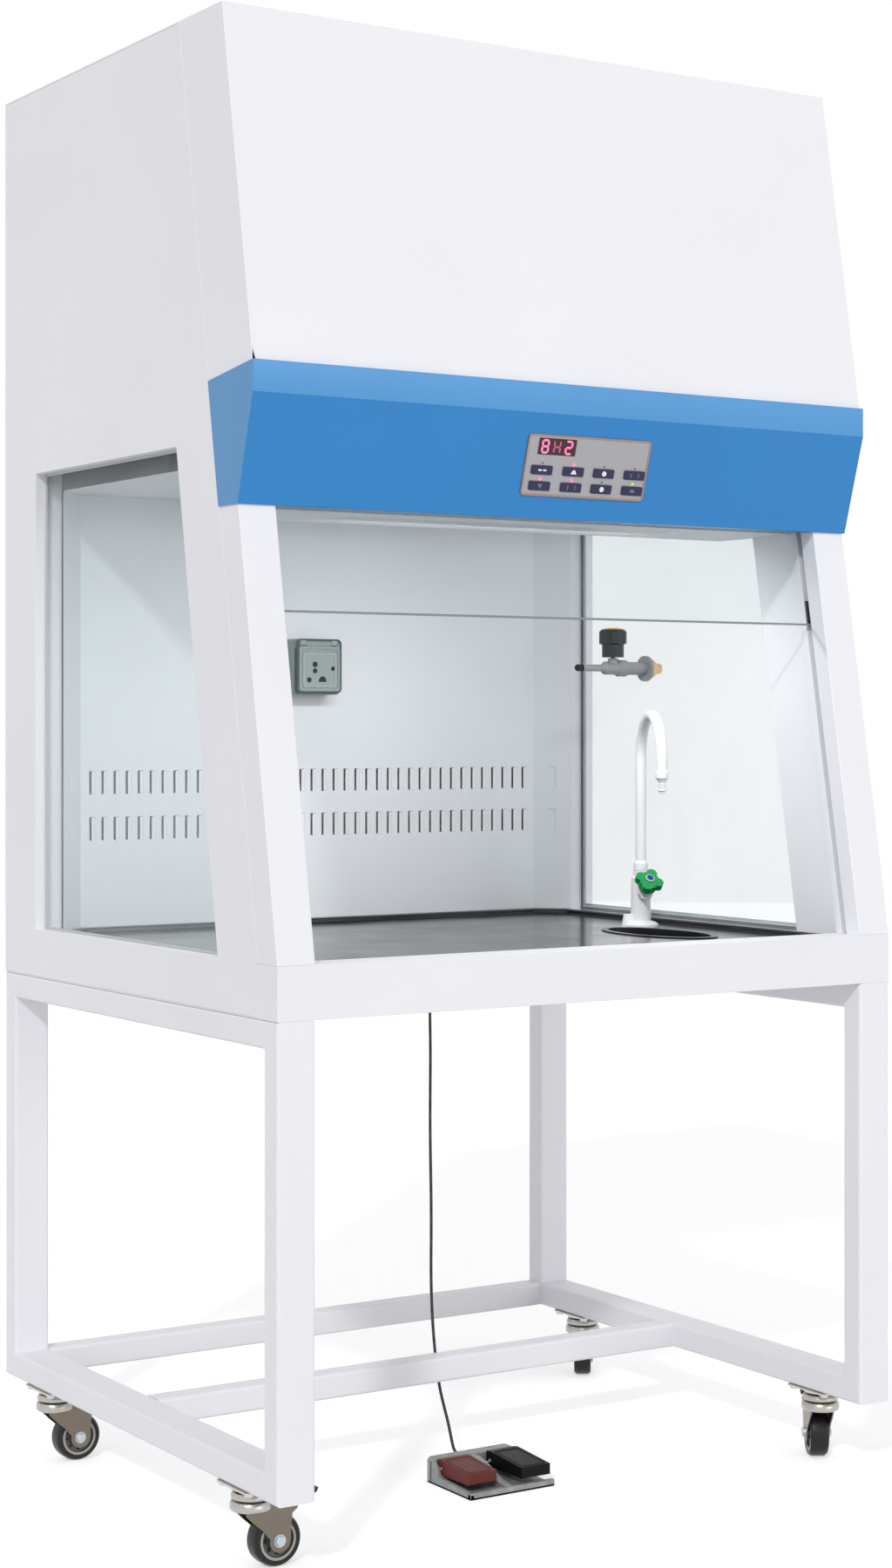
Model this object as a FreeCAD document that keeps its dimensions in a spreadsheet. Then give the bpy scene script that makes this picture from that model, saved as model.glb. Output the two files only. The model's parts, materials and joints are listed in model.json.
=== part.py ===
"""Ductless fume hood on a wheeled stand.

Millimetres. The floor is z = 0, +Z is up, +X is to the right of someone who stands at the sash and
+Y runs from the sash to the back. The origin lies on the floor, under the middle of the hood.
The whole front, the window edges and the sash lean back by one angle.
"""
import FreeCAD, Part
import math
import os
import Sketcher
from FreeCAD import Placement, Rotation, Vector

document = FreeCAD.newDocument("FumeHood")
sheet = document.addObject("Spreadsheet::Sheet", "Sizes")
parts = {}

X_AXIS = Vector(1, 0, 0)
Y_AXIS = Vector(0, 1, 0)
Z_AXIS = Vector(0, 0, 1)
LEFT, RIGHT = -1, 1


class Length:
    """A size of the sheet, or one worked out from such sizes, with its formula and its value."""

    def __init__(self, formula, value):
        self.formula = formula
        self.value = value

    def __float__(self):
        return float(self.value)

    def __neg__(self):
        return Length("(-%s)" % self.formula, -self.value)

    def __add__(self, other):
        other = length(other)
        return Length("(%s + %s)" % (self.formula, other.formula), self.value + other.value)

    def __sub__(self, other):
        other = length(other)
        return Length("(%s - %s)" % (self.formula, other.formula), self.value - other.value)

    def __mul__(self, other):
        other = length(other)
        return Length("(%s * %s)" % (self.formula, other.formula), self.value * other.value)

    def __truediv__(self, other):
        other = length(other)
        return Length("(%s / %s)" % (self.formula, other.formula), self.value / other.value)

    def __radd__(self, other):
        return length(other) + self

    def __rsub__(self, other):
        return length(other) - self

    def __rmul__(self, other):
        return length(other) * self

    def __rtruediv__(self, other):
        return length(other) / self


def length(value):
    """A plain number or a length, as a length."""
    if isinstance(value, Length):
        return value
    return Length("(%r)" % float(value), float(value))


def size(alias, value, note):
    """Writes one driving dimension on the next row of the sheet and returns it as a length."""
    row = len(sheet.getUsedCells()) // 3 + 1
    sheet.set("A%d" % row, alias)
    sheet.set("B%d" % row, str(value))
    sheet.set("C%d" % row, note)
    sheet.setAlias("B%d" % row, alias)
    return Length("Sizes.%s" % alias, float(value))


def tangent(angle):
    """The tangent of an angle of the sheet, in degrees."""
    return Length("tan(%s)" % angle.formula, math.tan(math.radians(angle.value)))


def cosine(angle):
    """The cosine of an angle of the sheet, in degrees."""
    return Length("cos(%s)" % angle.formula, math.cos(math.radians(angle.value)))


def sine(angle):
    """The sine of an angle of the sheet, in degrees."""
    return Length("sin(%s)" % angle.formula, math.sin(math.radians(angle.value)))


def bind(item, **lengths):
    """Binds an object's properties to lengths."""
    for name, value in lengths.items():
        item.setExpression(name, length(value).formula)


def place(item, point, rotation=None):
    """Puts an object's own origin at a point, turned as asked."""
    base = [length(value) for value in point]
    turned = rotation or Rotation()
    item.Placement = Placement(Vector(*[value.value for value in base]), turned)
    for axis, value in zip("xyz", base):
        item.setExpression("Placement.Base." + axis, value.formula)
    return item


def turn(axis, degrees):
    """A rotation about an axis."""
    return Rotation(axis, float(degrees))


def towards(axis):
    """The rotation that turns the Z axis to another direction."""
    return Rotation(Z_AXIS, axis)


def box(low, high):
    """A box between two opposite corners."""
    item = document.addObject("Part::Box", "Box")
    low = [length(value) for value in low]
    high = [length(value) for value in high]
    bind(item, Length=high[0] - low[0], Width=high[1] - low[1], Height=high[2] - low[2])
    return place(item, low)


def cylinder(start, radius, height, axis=Z_AXIS):
    """A cylinder that starts at a point and runs along an axis."""
    item = document.addObject("Part::Cylinder", "Cylinder")
    bind(item, Radius=radius, Height=height)
    return place(item, start, towards(axis))


def cone(start, radius, end_radius, height, axis=Z_AXIS):
    """A cone frustum that starts at a point and runs along an axis."""
    item = document.addObject("Part::Cone", "Cone")
    bind(item, Radius1=radius, Radius2=end_radius, Height=height)
    return place(item, start, towards(axis))


def ring(start, outer, inner, height, axis=Z_AXIS):
    """A round tube that starts at a point and runs along an axis."""
    bore = cylinder(start, inner, height, axis)
    return cut(cylinder(start, outer, height, axis), bore)


def cut(base, *tools):
    """The base without its tools."""
    item = document.addObject("Part::Cut", "Cut")
    item.Base = base
    item.Tool = tools[0] if len(tools) == 1 else fuse(*tools)
    return item


def fuse(*pieces):
    """Several overlapping or touching shapes as one solid."""
    item = document.addObject("Part::MultiFuse", "Fuse")
    item.Shapes = list(pieces)
    return item


def group(*pieces):
    """Several separate solids in one node."""
    item = document.addObject("Part::Compound", "Group")
    item.Links = list(pieces)
    return item


def plane_of(body, role):
    """One of the body's own origin planes."""
    return [item for item in body.Origin.OriginFeatures if item.Role == role][0]


def sketch(body, role, loops, offset=0):
    """Closed loops of straight lines on an origin plane, every corner bound to two lengths."""
    item = body.newObject("Sketcher::SketchObject", "Sketch")
    item.AttachmentSupport = [(plane_of(body, role), "")]
    item.MapMode = "FlatFace"
    item.setExpression("AttachmentOffset.Base.z", length(offset).formula)
    first = 0
    for loop in loops:
        corners = [(length(across), length(up)) for across, up in loop]
        count = len(corners)
        spots = [Vector(across.value, up.value, 0) for across, up in corners]
        for index in range(count):
            item.addGeometry(Part.LineSegment(spots[index], spots[(index + 1) % count]), False)
        for index in range(count):
            after = first + (index + 1) % count
            item.addConstraint(Sketcher.Constraint("Coincident", first + index, 2, after, 1))
        for index, corner in enumerate(corners):
            for kind, value in zip(("DistanceX", "DistanceY"), corner):
                rule = Sketcher.Constraint(kind, -1, 1, first + index, 1, value.value)
                number = item.addConstraint(rule)
                item.setExpression("Constraints[%d]" % number, value.formula)
        first += count
    return item


def add_pad(body, role, loops, start, thickness):
    """Adds a pad of the loops, from a distance along X, Y or Z and on in that direction."""
    backwards = role == "XZ_Plane"
    item = body.newObject("PartDesign::Pad", "Pad")
    item.Profile = sketch(body, role, loops, -length(start) if backwards else start)
    item.Reversed = backwards
    bind(item, Length=thickness)
    return item


def add_pocket(body, role, loops, start, depth):
    """Cuts the loops out, from a distance along X, Y or Z and on in that direction."""
    backwards = role == "XZ_Plane"
    item = body.newObject("PartDesign::Pocket", "Pocket")
    item.Profile = sketch(body, role, loops, -length(start) if backwards else start)
    item.Reversed = not backwards
    bind(item, Length=depth)
    return item


def add_row(body, feature, role, spacing, count):
    """Repeats a feature along the first axis of its plane."""
    item = body.newObject("PartDesign::LinearPattern", "Row")
    item.Originals = [feature]
    item.Direction = (plane_of(body, role), [""])
    item.Occurrences = count
    bind(item, Length=spacing * (count - 1))
    body.Tip = item
    return item


def round_edges(body, radius, wanted):
    """Rounds the edges of the body's last feature that the test picks."""
    document.recompute()
    last = body.Tip
    names = ["Edge%d" % (index + 1) for index, edge in enumerate(last.Shape.Edges) if wanted(edge)]
    item = body.newObject("PartDesign::Fillet", "Fillet")
    item.Base = (last, names)
    bind(item, Radius=radius)
    return item


def runs_along(axis, least=0.0):
    """A test that picks straight edges along an axis that are longer than a least length."""
    def test(edge):
        if edge.Curve.TypeId != "Part::GeomLine":
            return False
        direction = edge.tangentAt(edge.FirstParameter)
        return abs(abs(direction.dot(axis)) - 1) < 1e-6 and edge.Length > float(least)
    return test


def plate(role, loops, start, thickness):
    """A body padded from closed loops, the first of them the outline and the others holes."""
    body = document.addObject("PartDesign::Body", "Body")
    add_pad(body, role, loops, start, thickness)
    return body


def turned(points):
    """A body turned about the Z axis, from a half section of (radius, height) points."""
    body = document.addObject("PartDesign::Body", "Turned")
    item = body.newObject("PartDesign::Revolution", "Revolution")
    item.Profile = sketch(body, "XZ_Plane", [points])
    item.ReferenceAxis = (item.Profile[0], ["V_Axis"])
    item.Angle = 360
    return body


def solid(shape, point=(0, 0, 0), rotation=None):
    """A shape that no other kind of object makes, put at a point."""
    item = document.addObject("Part::Feature", "Solid")
    item.Shape = shape
    return place(item, point, rotation)


def part(label, *pieces):
    """Names one node of the hood and keeps it for the STEP files."""
    item = pieces[0] if len(pieces) == 1 else group(*pieces)
    item.Label = label
    parts[label] = item
    return item


def rectangle(low, high):
    """The corners of a rectangle between two opposite corners."""
    return [(low[0], low[1]), (high[0], low[1]), (high[0], high[1]), (low[0], high[1])]


def circle_loop(middle, radius, sides):
    """A regular polygon about a middle point."""
    corners = []
    for index in range(sides):
        angle = 2 * math.pi * (index + 0.5) / sides
        corners.append((middle[0] + radius * math.cos(angle), middle[1] + radius * math.sin(angle)))
    return corners


def on_side(side, near, far):
    """The start along X and the thickness of a wall between two distances from the middle."""
    near, far = length(near), length(far)
    return (near if side == RIGHT else -far), far - near


# Sizes of the whole hood
body_width = size("body_width", 1100, "over the two side panels")
body_depth = size("body_depth", 920, "front beam to rear panel")
caster_height = size("caster_height", 120, "floor to the underside of the stand")
stand_height = size("stand_height", 660, "of the side frames")
beam_height = size("beam_height", 76, "of the front beam of the hood")
hood_top = size("hood_top", 2205, "floor to the top of the hood")
lean = size("lean", 10, "degrees, of the front and the sash")
skin = size("skin", 2, "of the folded sheet")
cap = size("cap", 3, "of the top sheet and the fascia cheeks")
running = size("running", 0.05, "radial clearance of a shaft in its bore")
air = size("air", 0.3, "clearance between pieces that slide past each other")

# Sizes: stand
tube_wide = size("tube_wide", 60, "side frame tube across the hood")
tube_deep = size("tube_deep", 40, "side frame tube in the plane of the frame")
tube_wall = size("tube_wall", 2, "of all the stand's tubes")
tube_corner = size("tube_corner", 5, "outer corner radius of the tubes")
middle_rail = size("middle_rail", 40, "centre of the middle rail behind the hood's middle")

# Sizes: casters
caster_in = size("caster_in", 130, "swivel axis in from the end of the side frame")
plate_long = size("plate_long", 92, "caster plate along the side frame")
plate_wide = size("plate_wide", 65, "caster plate across the side frame")
plate_thick = size("plate_thick", 3, "caster plate")
bolt_along = size("bolt_along", 37, "caster bolts from the swivel axis, along the frame")
bolt_across = size("bolt_across", 24, "caster bolts from the swivel axis, across the frame")
bolt_head = size("bolt_head", 6.5, "caster bolt head across its corners, halved")
bolt_thick = size("bolt_thick", 4.5, "caster bolt head")
race_radius = size("race_radius", 26, "ball race")
race_height = size("race_height", 6, "upper ball race")
race_gap = size("race_gap", 0.8, "between the two halves of the ball race")
crown_height = size("crown_height", 13, "swivel crown with its lower race")
kingpin_radius = size("kingpin_radius", 6, "swivel pin")
kingpin_head = size("kingpin_head", 9, "rivet head of the swivel pin")
wheel_radius = size("wheel_radius", 37.5, "over the tyre")
tyre_width = size("tyre_width", 30, "tyre")
tyre_thick = size("tyre_thick", 9, "tyre over its hub")
trail = size("trail", 36, "axle behind the swivel axis")
fork_gap = size("fork_gap", 1.2, "between the hub and each cheek")
cheek_thick = size("cheek_thick", 2.5, "fork cheek")
axle_radius = size("axle_radius", 5, "axle bolt")
nut_radius = size("nut_radius", 8, "axle nut across its corners, halved")
nut_thick = size("nut_thick", 6, "axle nut and bolt head")
hub_holes = size("hub_holes", 8, "lightening holes in a hub")
hub_hole_radius = size("hub_hole_radius", 3.2, "lightening hole")
brake_along = size("brake_along", 22, "brake pin behind the axle")
brake_up = size("brake_up", 49, "brake pin above the axle")
brake_pin = size("brake_pin", 3, "brake pin radius")
brake_barrel = size("brake_barrel", 6.5, "barrel of the brake lever")
brake_reach = size("brake_reach", 40, "brake lever from its pin to its tip")
brake_wide = size("brake_wide", 38, "brake lever across the wheel")
brake_thick = size("brake_thick", 4, "brake lever")
brake_rise = size("brake_rise", 20, "degrees, brake lever above level when released")

# Sizes: hood base
beam_deep = size("beam_deep", 57, "front beam from front to back")
side_thick = size("side_thick", 50, "side wall of the hood")
outer_thick = size("outer_thick", 20, "outer side panel")
bearer_in = size("bearer_in", 115, "outer bearers of the worktop from the sides of the hood")
bearer_middle = size("bearer_middle", 140, "inner bearers of the worktop from the middle")
bearer_half = size("bearer_half", 15, "half of a bearer across")
gland_across = size("gland_across", 44, "cord gland from the middle")
gland_along = size("gland_along", 95, "cord gland behind the middle")
gland_radius = size("gland_radius", 7, "cord gland thread")
sink_in = size("sink_in", 207, "sink from the right side of the hood")
sink_back = size("sink_back", 326, "sink behind the front of the hood")
sink_half_wide = size("sink_half_wide", 66, "sink rim across, halved")
sink_half_long = size("sink_half_long", 132, "sink rim along, halved")
sink_lip = size("sink_lip", 10, "sink rim over its hole")
sink_deep = size("sink_deep", 58, "sink bowl below its rim")
drain_radius = size("drain_radius", 15, "sink drain tail")
drain_long = size("drain_long", 32, "sink drain tail")
drain_grip = size("drain_grip", 20, "hose end of the sink drain tail")
top_thick = size("top_thick", 28, "worktop slab over its upstand")
top_rise = size("top_rise", 8, "upstand round the worktop")
top_drop = size("top_drop", 4, "upstand below the top of the front beam")
upstand = size("upstand", 12, "worktop upstand")
reveal = size("reveal", 1, "gap round the worktop and the glass")
duct_deep = size("duct_deep", 75, "baffle plane in front of the back")
wing_deep = size("wing_deep", 45, "baffle wings from front to back")
wing_wide = size("wing_wide", 50, "baffle wings across")
faucet_in = size("faucet_in", 147, "tap from the right side of the hood")
faucet_back = size("faucet_back", 456, "tap behind the front of the hood")

# Sizes: side walls and windows
window_low = size("window_low", 857, "bottom of the window opening above the floor")
window_high = size("window_high", 1588, "top of the window opening above the floor")
window_rear = size("window_rear", 120, "window opening from the back of the hood")
window_fore = size("window_fore", 174, "window opening behind the front of the hood, at its bottom")
window_step = size("window_step", 8, "inner opening larger than the outer one all round")
glass_thick = size("glass_thick", 5, "windows and sash")
shank_radius = size("shank_radius", 9.25, "brass shank of the gas valve, outside")
shank_core = size("shank_core", 8.75, "brass shank of the gas valve in the window")
locknut_thick = size("locknut_thick", 9, "locknut of the gas valve")
valve_rear = size("valve_rear", 317, "gas valve from the back of the hood")
valve_up = size("valve_up", 1284, "gas valve above the floor")

# Sizes: rear and top sheets
grille_pitch = size("grille_pitch", 20, "exhaust slots from centre to centre")
grille_wide = size("grille_wide", 8, "exhaust slot")
grille_long = size("grille_long", 250, "exhaust slot")
fan_rear = size("fan_rear", 290, "blower axis from the back of the hood")
cover_out = size("cover_out", 77, "upper cover in front of the posts")
cover_low = size("cover_low", 1699, "bottom edge of the upper cover above the floor")
cover_chamfer = size("cover_chamfer", 16, "bottom chamfer of the upper cover")
cover_lip = size("cover_lip", 30, "return under the upper cover")

# Sizes: front posts with their sash tracks
post_wide = size("post_wide", 60, "front post")
post_deep = size("post_deep", 30, "hollow front of the post")
track_deep = size("track_deep", 27, "sash track behind the post")
post_high = size("post_high", 1690, "top of the post's hollow front above the floor")
track_down = size("track_down", 55, "hood top down to the top of the sash track")
track_wide = size("track_wide", 56, "sash track")
groove_from = size("groove_from", 32, "front of the sash groove behind the post's face")
groove_wide = size("groove_wide", 11, "sash groove along the hood")
groove_deep = size("groove_deep", 26, "sash groove into the track")

# Sizes: control fascia
fascia_low = size("fascia_low", 1493, "bottom of the fascia above the floor")
fascia_bend = size("fascia_bend", 1645, "bend of the fascia above the floor")
fascia_high = size("fascia_high", 1690, "front top edge of the fascia above the floor")
fascia_back_high = size("fascia_back_high", 1673, "rear top corner of the fascia above the floor")
fascia_in = size("fascia_in", 64, "upper face of the fascia behind the front of the hood")
fascia_run = size("fascia_run", 45, "lean of the lower face of the fascia")
fascia_return = size("fascia_return", 26, "bottom return of the fascia")
fascia_shelf = size("fascia_shelf", 78, "top return of the fascia")

# Sizes: control plate and keys, laid out on the leaning face of the fascia
plate_across = size("plate_across", 26, "control plate from the middle")
plate_down = size("plate_down", 78, "control plate centre down the leaning face from the bend")
panel_wide = size("panel_wide", 224, "control plate")
panel_high = size("panel_high", 92, "control plate up the slope")
panel_thick = size("panel_thick", 1.5, "control plate")
panel_corner = size("panel_corner", 6, "control plate corner radius")
panel_rim = size("panel_rim", 4, "control plate over its opening all round")
key_wide = size("key_wide", 37, "key")
key_high = size("key_high", 14, "key")
key_thick = size("key_thick", 1.6, "key above its gap")
key_travel = size("key_travel", 0.5, "key stroke")
key_stem = size("key_stem", 6, "key stem behind the key")
key_rim = size("key_rim", 1.5, "key over its hole all round")
display_low = size("display_low", -16, "display window below the plate's centre")

# Sizes: work chamber sheets
baffle_top = size("baffle_top", 1562, "top of the baffle above the floor")
slot_wide = size("slot_wide", 10, "baffle slot")
slot_high = size("slot_high", 38, "baffle slot")
slot_edge = size("slot_edge", 21, "end slots of the baffle from its folds")
ceiling_fore = size("ceiling_fore", 363, "ceiling sheet behind the front of the hood")
filter_wide = size("filter_wide", 640, "filters across the hood")
filter_long = size("filter_long", 300, "filters along the hood")
filter_ledge = size("filter_ledge", 18, "ceiling under the filters")
bulkhead_high = size("bulkhead_high", 1900, "top of the front bulkhead above the floor")
lamp_wide = size("lamp_wide", 600, "lamp")
lamp_long = size("lamp_long", 80, "lamp along the hood")
lamp_high = size("lamp_high", 40, "lamp")
lamp_back = size("lamp_back", 265, "lamp behind the front of the hood")

# Sizes: filters and blower
prefilter_high = size("prefilter_high", 24, "prefilter")
carbon_high = size("carbon_high", 250, "carbon filter")
frame_wide = size("frame_wide", 15, "frame of the prefilter")
shroud_radius = size("shroud_radius", 140, "blower housing inside")
shroud_high = size("shroud_high", 150, "blower housing")
inlet_radius = size("inlet_radius", 92, "blower inlet")
wheel_out = size("wheel_out", 125, "impeller")
wheel_high = size("wheel_high", 84, "impeller")
wheel_gap = size("wheel_gap", 6, "impeller over the inlet plate")
blade_thick = size("blade_thick", 2, "impeller blade")
shaft_radius = size("shaft_radius", 6, "motor shaft")
motor_radius = size("motor_radius", 48, "blower motor")
motor_high = size("motor_high", 50, "blower motor")

# Sizes: socket on the baffle
socket_left = size("socket_left", -70, "left side of the socket from the middle")
socket_wide = size("socket_wide", 89, "socket")
socket_low = size("socket_low", 1237, "bottom of the socket above the floor")
socket_high = size("socket_high", 95, "socket")
socket_deep = size("socket_deep", 38, "socket box in front of the baffle")
lid_thick = size("lid_thick", 9, "socket cover")
hinge_radius = size("hinge_radius", 3, "socket hinge pin")

# Sizes: gas valve through the right window
flange_radius = size("flange_radius", 22.5, "flange nut of the gas valve")
flange_thick = size("flange_thick", 6, "flange nut of the gas valve")
valve_radius = size("valve_radius", 11.5, "body of the gas valve")
valve_long = size("valve_long", 95, "body of the gas valve from the window")
neck_radius = size("neck_radius", 6, "outlet of the gas valve")
outlet_long = size("outlet_long", 57, "outlet of the gas valve past its body")
knob_in = size("knob_in", 73, "gas knob from the window")
knob_radius = size("knob_radius", 24.5, "gas knob")
knob_high = size("knob_high", 48, "gas knob")
knob_low = size("knob_low", 19, "gas knob above the valve axis")

# Sizes: tap at the right of the worktop
riser_radius = size("riser_radius", 12, "tap riser")
tube_radius = size("tube_radius", 9, "swan neck")
tap_reach = size("tap_reach", 148, "swan neck, riser to outlet")
tap_heading = size("tap_heading", 246.9, "degrees, swan neck seen from above")
collar_up = size("collar_up", 95, "top of the tap body above the worktop")
neck_top = size("neck_top", 357, "centre of the swan neck's top above the worktop")
outlet_up = size("outlet_up", 228, "tip of the outlet above the worktop")
base_radius = size("base_radius", 30, "tap base")
tap_knob_half = size("tap_knob_half", 24, "tap knob")

# Sizes: sash
sash_low = size("sash_low", 1344, "lower edge of the sash above the floor")
sash_long = size("sash_long", 683, "sash up the slope")
sash_from = size("sash_from", 34.5, "front of the sash behind the face of the posts")
sash_bite = size("sash_bite", 15, "sash into each track")
clip_high = size("clip_high", 40, "corner clip")

# Sizes: sash drive under the top panel
drum_back = size("drum_back", 350, "sash drum shaft behind the front of the hood")
drum_down = size("drum_down", 55, "hood top down to the sash drum shaft")
drum_radius = size("drum_radius", 30, "cable drum")
drum_wide = size("drum_wide", 24, "cable drum")
drum_in = size("drum_in", 100, "cable drums from the sides of the hood")
rod_radius = size("rod_radius", 8, "drum shaft")
bracket_in = size("bracket_in", 150, "bearing brackets from the sides of the hood")
bracket_thick = size("bracket_thick", 5, "bearing bracket")
drive_left = size("drive_left", 60, "sash motor gearbox from the middle")
drive_wide = size("drive_wide", 70, "sash motor gearbox")
drive_half = size("drive_half", 35, "sash motor gearbox before and behind its shaft")
drive_motor_radius = size("drive_motor_radius", 26, "sash motor")
drive_motor_long = size("drive_motor_long", 110, "sash motor")

# Sizes: foot switch on the floor
foot_left = size("foot_left", -79, "left side of the foot switch from the middle")
foot_wide = size("foot_wide", 156, "foot switch")
foot_front = size("foot_front", -218, "front of the foot switch behind the middle")
foot_long = size("foot_long", 138, "foot switch")
foot_high = size("foot_high", 36, "foot switch")
foot_wall = size("foot_wall", 7, "side wall of the foot switch")
foot_floor = size("foot_floor", 4, "floor of the foot switch")
rib_wide = size("rib_wide", 14, "rib between the pedals")
rib_left = size("rib_left", 67, "rib from the left side of the foot switch")
pedal_edge = size("pedal_edge", 2, "pedals from the walls of the foot switch")
rear_block = size("rear_block", 26, "closed rear of the foot switch")
front_lip = size("front_lip", 11, "front lip of the foot switch")
pedal_wide = size("pedal_wide", 52, "pedal")
pedal_long = size("pedal_long", 92, "pedal")
pedal_thick = size("pedal_thick", 17, "pedal")
pedal_pin_up = size("pedal_pin_up", 22, "pedal hinge above the floor")
pedal_pin = size("pedal_pin", 2, "pedal hinge pin radius")
cord_radius = size("cord_radius", 2.5, "foot switch cord")
cord_end_up = size("cord_end_up", 26, "cord entry of the foot switch above the floor")
cord_end_across = size("cord_end_across", -4, "cord entry from the middle")

# Sizes: cord from the underside of the hood to the foot switch
gland_low = size("gland_low", 14, "cord gland below the pan")

# Overall sizes
slope = tangent(lean)
half_width = body_width / 2
half_depth = body_depth / 2
stand_top = caster_height + stand_height
deck = stand_top + beam_height
sink_across = half_width - sink_in
sink_along = sink_back - half_depth
faucet_across = half_width - faucet_in
faucet_along = faucet_back - half_depth
baffle_back = half_depth - duct_deep
wing_front = baffle_back - wing_deep
window_back = half_depth - window_rear
window_front = window_fore - half_depth
valve_along = half_depth - valve_rear
fan_along = half_depth - fan_rear
fascia_out = half_depth - fascia_in
fascia_tuck = fascia_out - fascia_run
ceiling_front = ceiling_fore - half_depth
lamp_along = lamp_back - half_depth
drum_along = drum_back - half_depth
drum_up = hood_top - drum_down
track_high = hood_top - track_down
caster_along = half_depth - caster_in
drum_across = half_width - drum_in
bracket_across = half_width - bracket_in

# Stand


def frame_corners(inset):
    """The corners of a side frame in the YZ plane, moved inwards."""
    return rectangle((inset - half_depth, caster_height + inset), (half_depth - inset, stand_top - inset))


def side_frame(side):
    """Four mitred tubes of one side frame."""
    outer, inner = frame_corners(0), frame_corners(tube_deep)
    wall_out, wall_in = frame_corners(tube_wall), frame_corners(tube_deep - tube_wall)
    start, thickness = on_side(side, half_width - tube_wide, half_width)
    tubes = []
    for index in range(4):
        after = (index + 1) % 4
        tube = plate("YZ_Plane", [[outer[index], outer[after], inner[after], inner[index]]], start, thickness)
        along = Y_AXIS if index % 2 == 0 else Z_AXIS
        round_edges(tube, tube_corner, runs_along(along))
        hollow = [wall_out[index], wall_out[after], wall_in[after], wall_in[index]]
        add_pocket(tube, "YZ_Plane", [hollow], start + tube_wall, thickness - tube_wall * 2)
        tubes.append(tube)
    return tubes


def cross_rail(front, bottom):
    """A square tube between the side frames, from its front face and its underside."""
    half = half_width - tube_wide
    square = rectangle((front, bottom), (front + tube_deep, bottom + tube_deep))
    rail = plate("YZ_Plane", [square], -half, half * 2)
    round_edges(rail, tube_corner, runs_along(X_AXIS))
    low = (front + tube_wall, bottom + tube_wall)
    high = (front + tube_deep - tube_wall, bottom + tube_deep - tube_wall)
    add_pocket(rail, "YZ_Plane", [rectangle(low, high)], -half, half * 2)
    return rail


part("side_frames", *(side_frame(LEFT) + side_frame(RIGHT)))
part("cross_rails",
     cross_rail(half_depth - tube_deep, caster_height),
     cross_rail(middle_rail - tube_deep / 2, caster_height),
     cross_rail(half_depth - tube_deep, stand_top - tube_deep))

# Casters
caster_across = half_width - tube_wide / 2

plate_low = caster_height - plate_thick
crown_top = plate_low - race_height - race_gap
crown_low = crown_top - crown_height
cheek_inner = tyre_width / 2 + fork_gap
cheek_outer = cheek_inner + cheek_thick
caster_spots = {
    "front_left": (-caster_across, -caster_along, 0),
    "front_right": (caster_across, -caster_along, 60),
    "rear_left": (-caster_across, caster_along, 0),
    "rear_right": (caster_across, caster_along, 55),
}


def caster_plate(across, along):
    """A fixed top plate with its bolt heads, upper race and swivel pin."""
    low = (across - plate_wide / 2, along - plate_long / 2)
    high = (across + plate_wide / 2, along + plate_long / 2)
    top = plate("XY_Plane", [rectangle(low, high)], plate_low, plate_thick)
    round_edges(top, tube_corner, runs_along(Z_AXIS))
    half = turned([(0, 0), (kingpin_head, 0), (kingpin_head, 3), (kingpin_radius, 3),
                   (kingpin_radius, plate_low - crown_low + 3 - race_height),
                   (race_radius - 4, plate_low - crown_low + 3 - race_height),
                   (race_radius, plate_low - crown_low + 4.5 - race_height),
                   (race_radius, plate_low - crown_low + 3), (0, plate_low - crown_low + 3)])
    pieces = [fuse(top, place(half, (across, along, crown_low - 3)))]
    for x_side in (LEFT, RIGHT):
        for y_side in (LEFT, RIGHT):
            middle = (across + bolt_across * x_side, along + bolt_along * y_side)
            head = plate("XY_Plane", [circle_loop(middle, bolt_head, 6)], plate_low - bolt_thick, bolt_thick)
            pieces.append(head)
    return pieces


def fork():
    """A swivel crown, two cheeks, the axle bolt and the brake pin, about the swivel axis."""
    crown = turned([(kingpin_radius + running, crown_low), (race_radius - 2, crown_low),
                    (race_radius, crown_low + 3), (race_radius, crown_top - 2), (race_radius - 2, crown_top),
                    (kingpin_radius + running, crown_top)])
    axle_up = wheel_radius
    pin = (trail + brake_along, axle_up + brake_up)
    outline = [(-race_radius * 0.72, crown_low), (-race_radius * 0.72, crown_low + 3), (pin[0], crown_low + 3),
               (pin[0] + 8, pin[1] + 4), (pin[0] + 8, pin[1] - 5), (trail + 13, axle_up + 12),
               (trail + 13, axle_up - 6), (trail + 7, axle_up - 13), (trail - 7, axle_up - 13),
               (trail - 13, axle_up - 5)]
    bridge = plate("XY_Plane", [rectangle((-race_radius * 0.72, -cheek_outer), (pin[0], cheek_outer))],
                   crown_low, 3)
    add_pocket(bridge, "XY_Plane", [circle_loop((0, 0), kingpin_radius + 4, 16)], crown_low - 1, 5)
    sides = []
    for side in (LEFT, RIGHT):
        start, thickness = on_side(side, cheek_inner, cheek_outer)
        sides.append(plate("XZ_Plane", [outline], start, thickness))
    axle = cylinder((trail, -cheek_outer, axle_up), axle_radius, cheek_outer * 2, Y_AXIS)
    nut = plate("XZ_Plane", [circle_loop((trail, axle_up), nut_radius, 6)], cheek_outer, nut_thick)
    head = plate("XZ_Plane", [circle_loop((trail, axle_up), nut_radius, 6)], -cheek_outer - nut_thick * 0.8,
                 nut_thick * 0.8)
    pivot = cylinder((pin[0], -cheek_outer - 1, pin[1]), brake_pin, cheek_outer * 2 + 2, Y_AXIS)
    return fuse(crown, bridge, *(sides + [axle, nut, head, pivot]))


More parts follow.
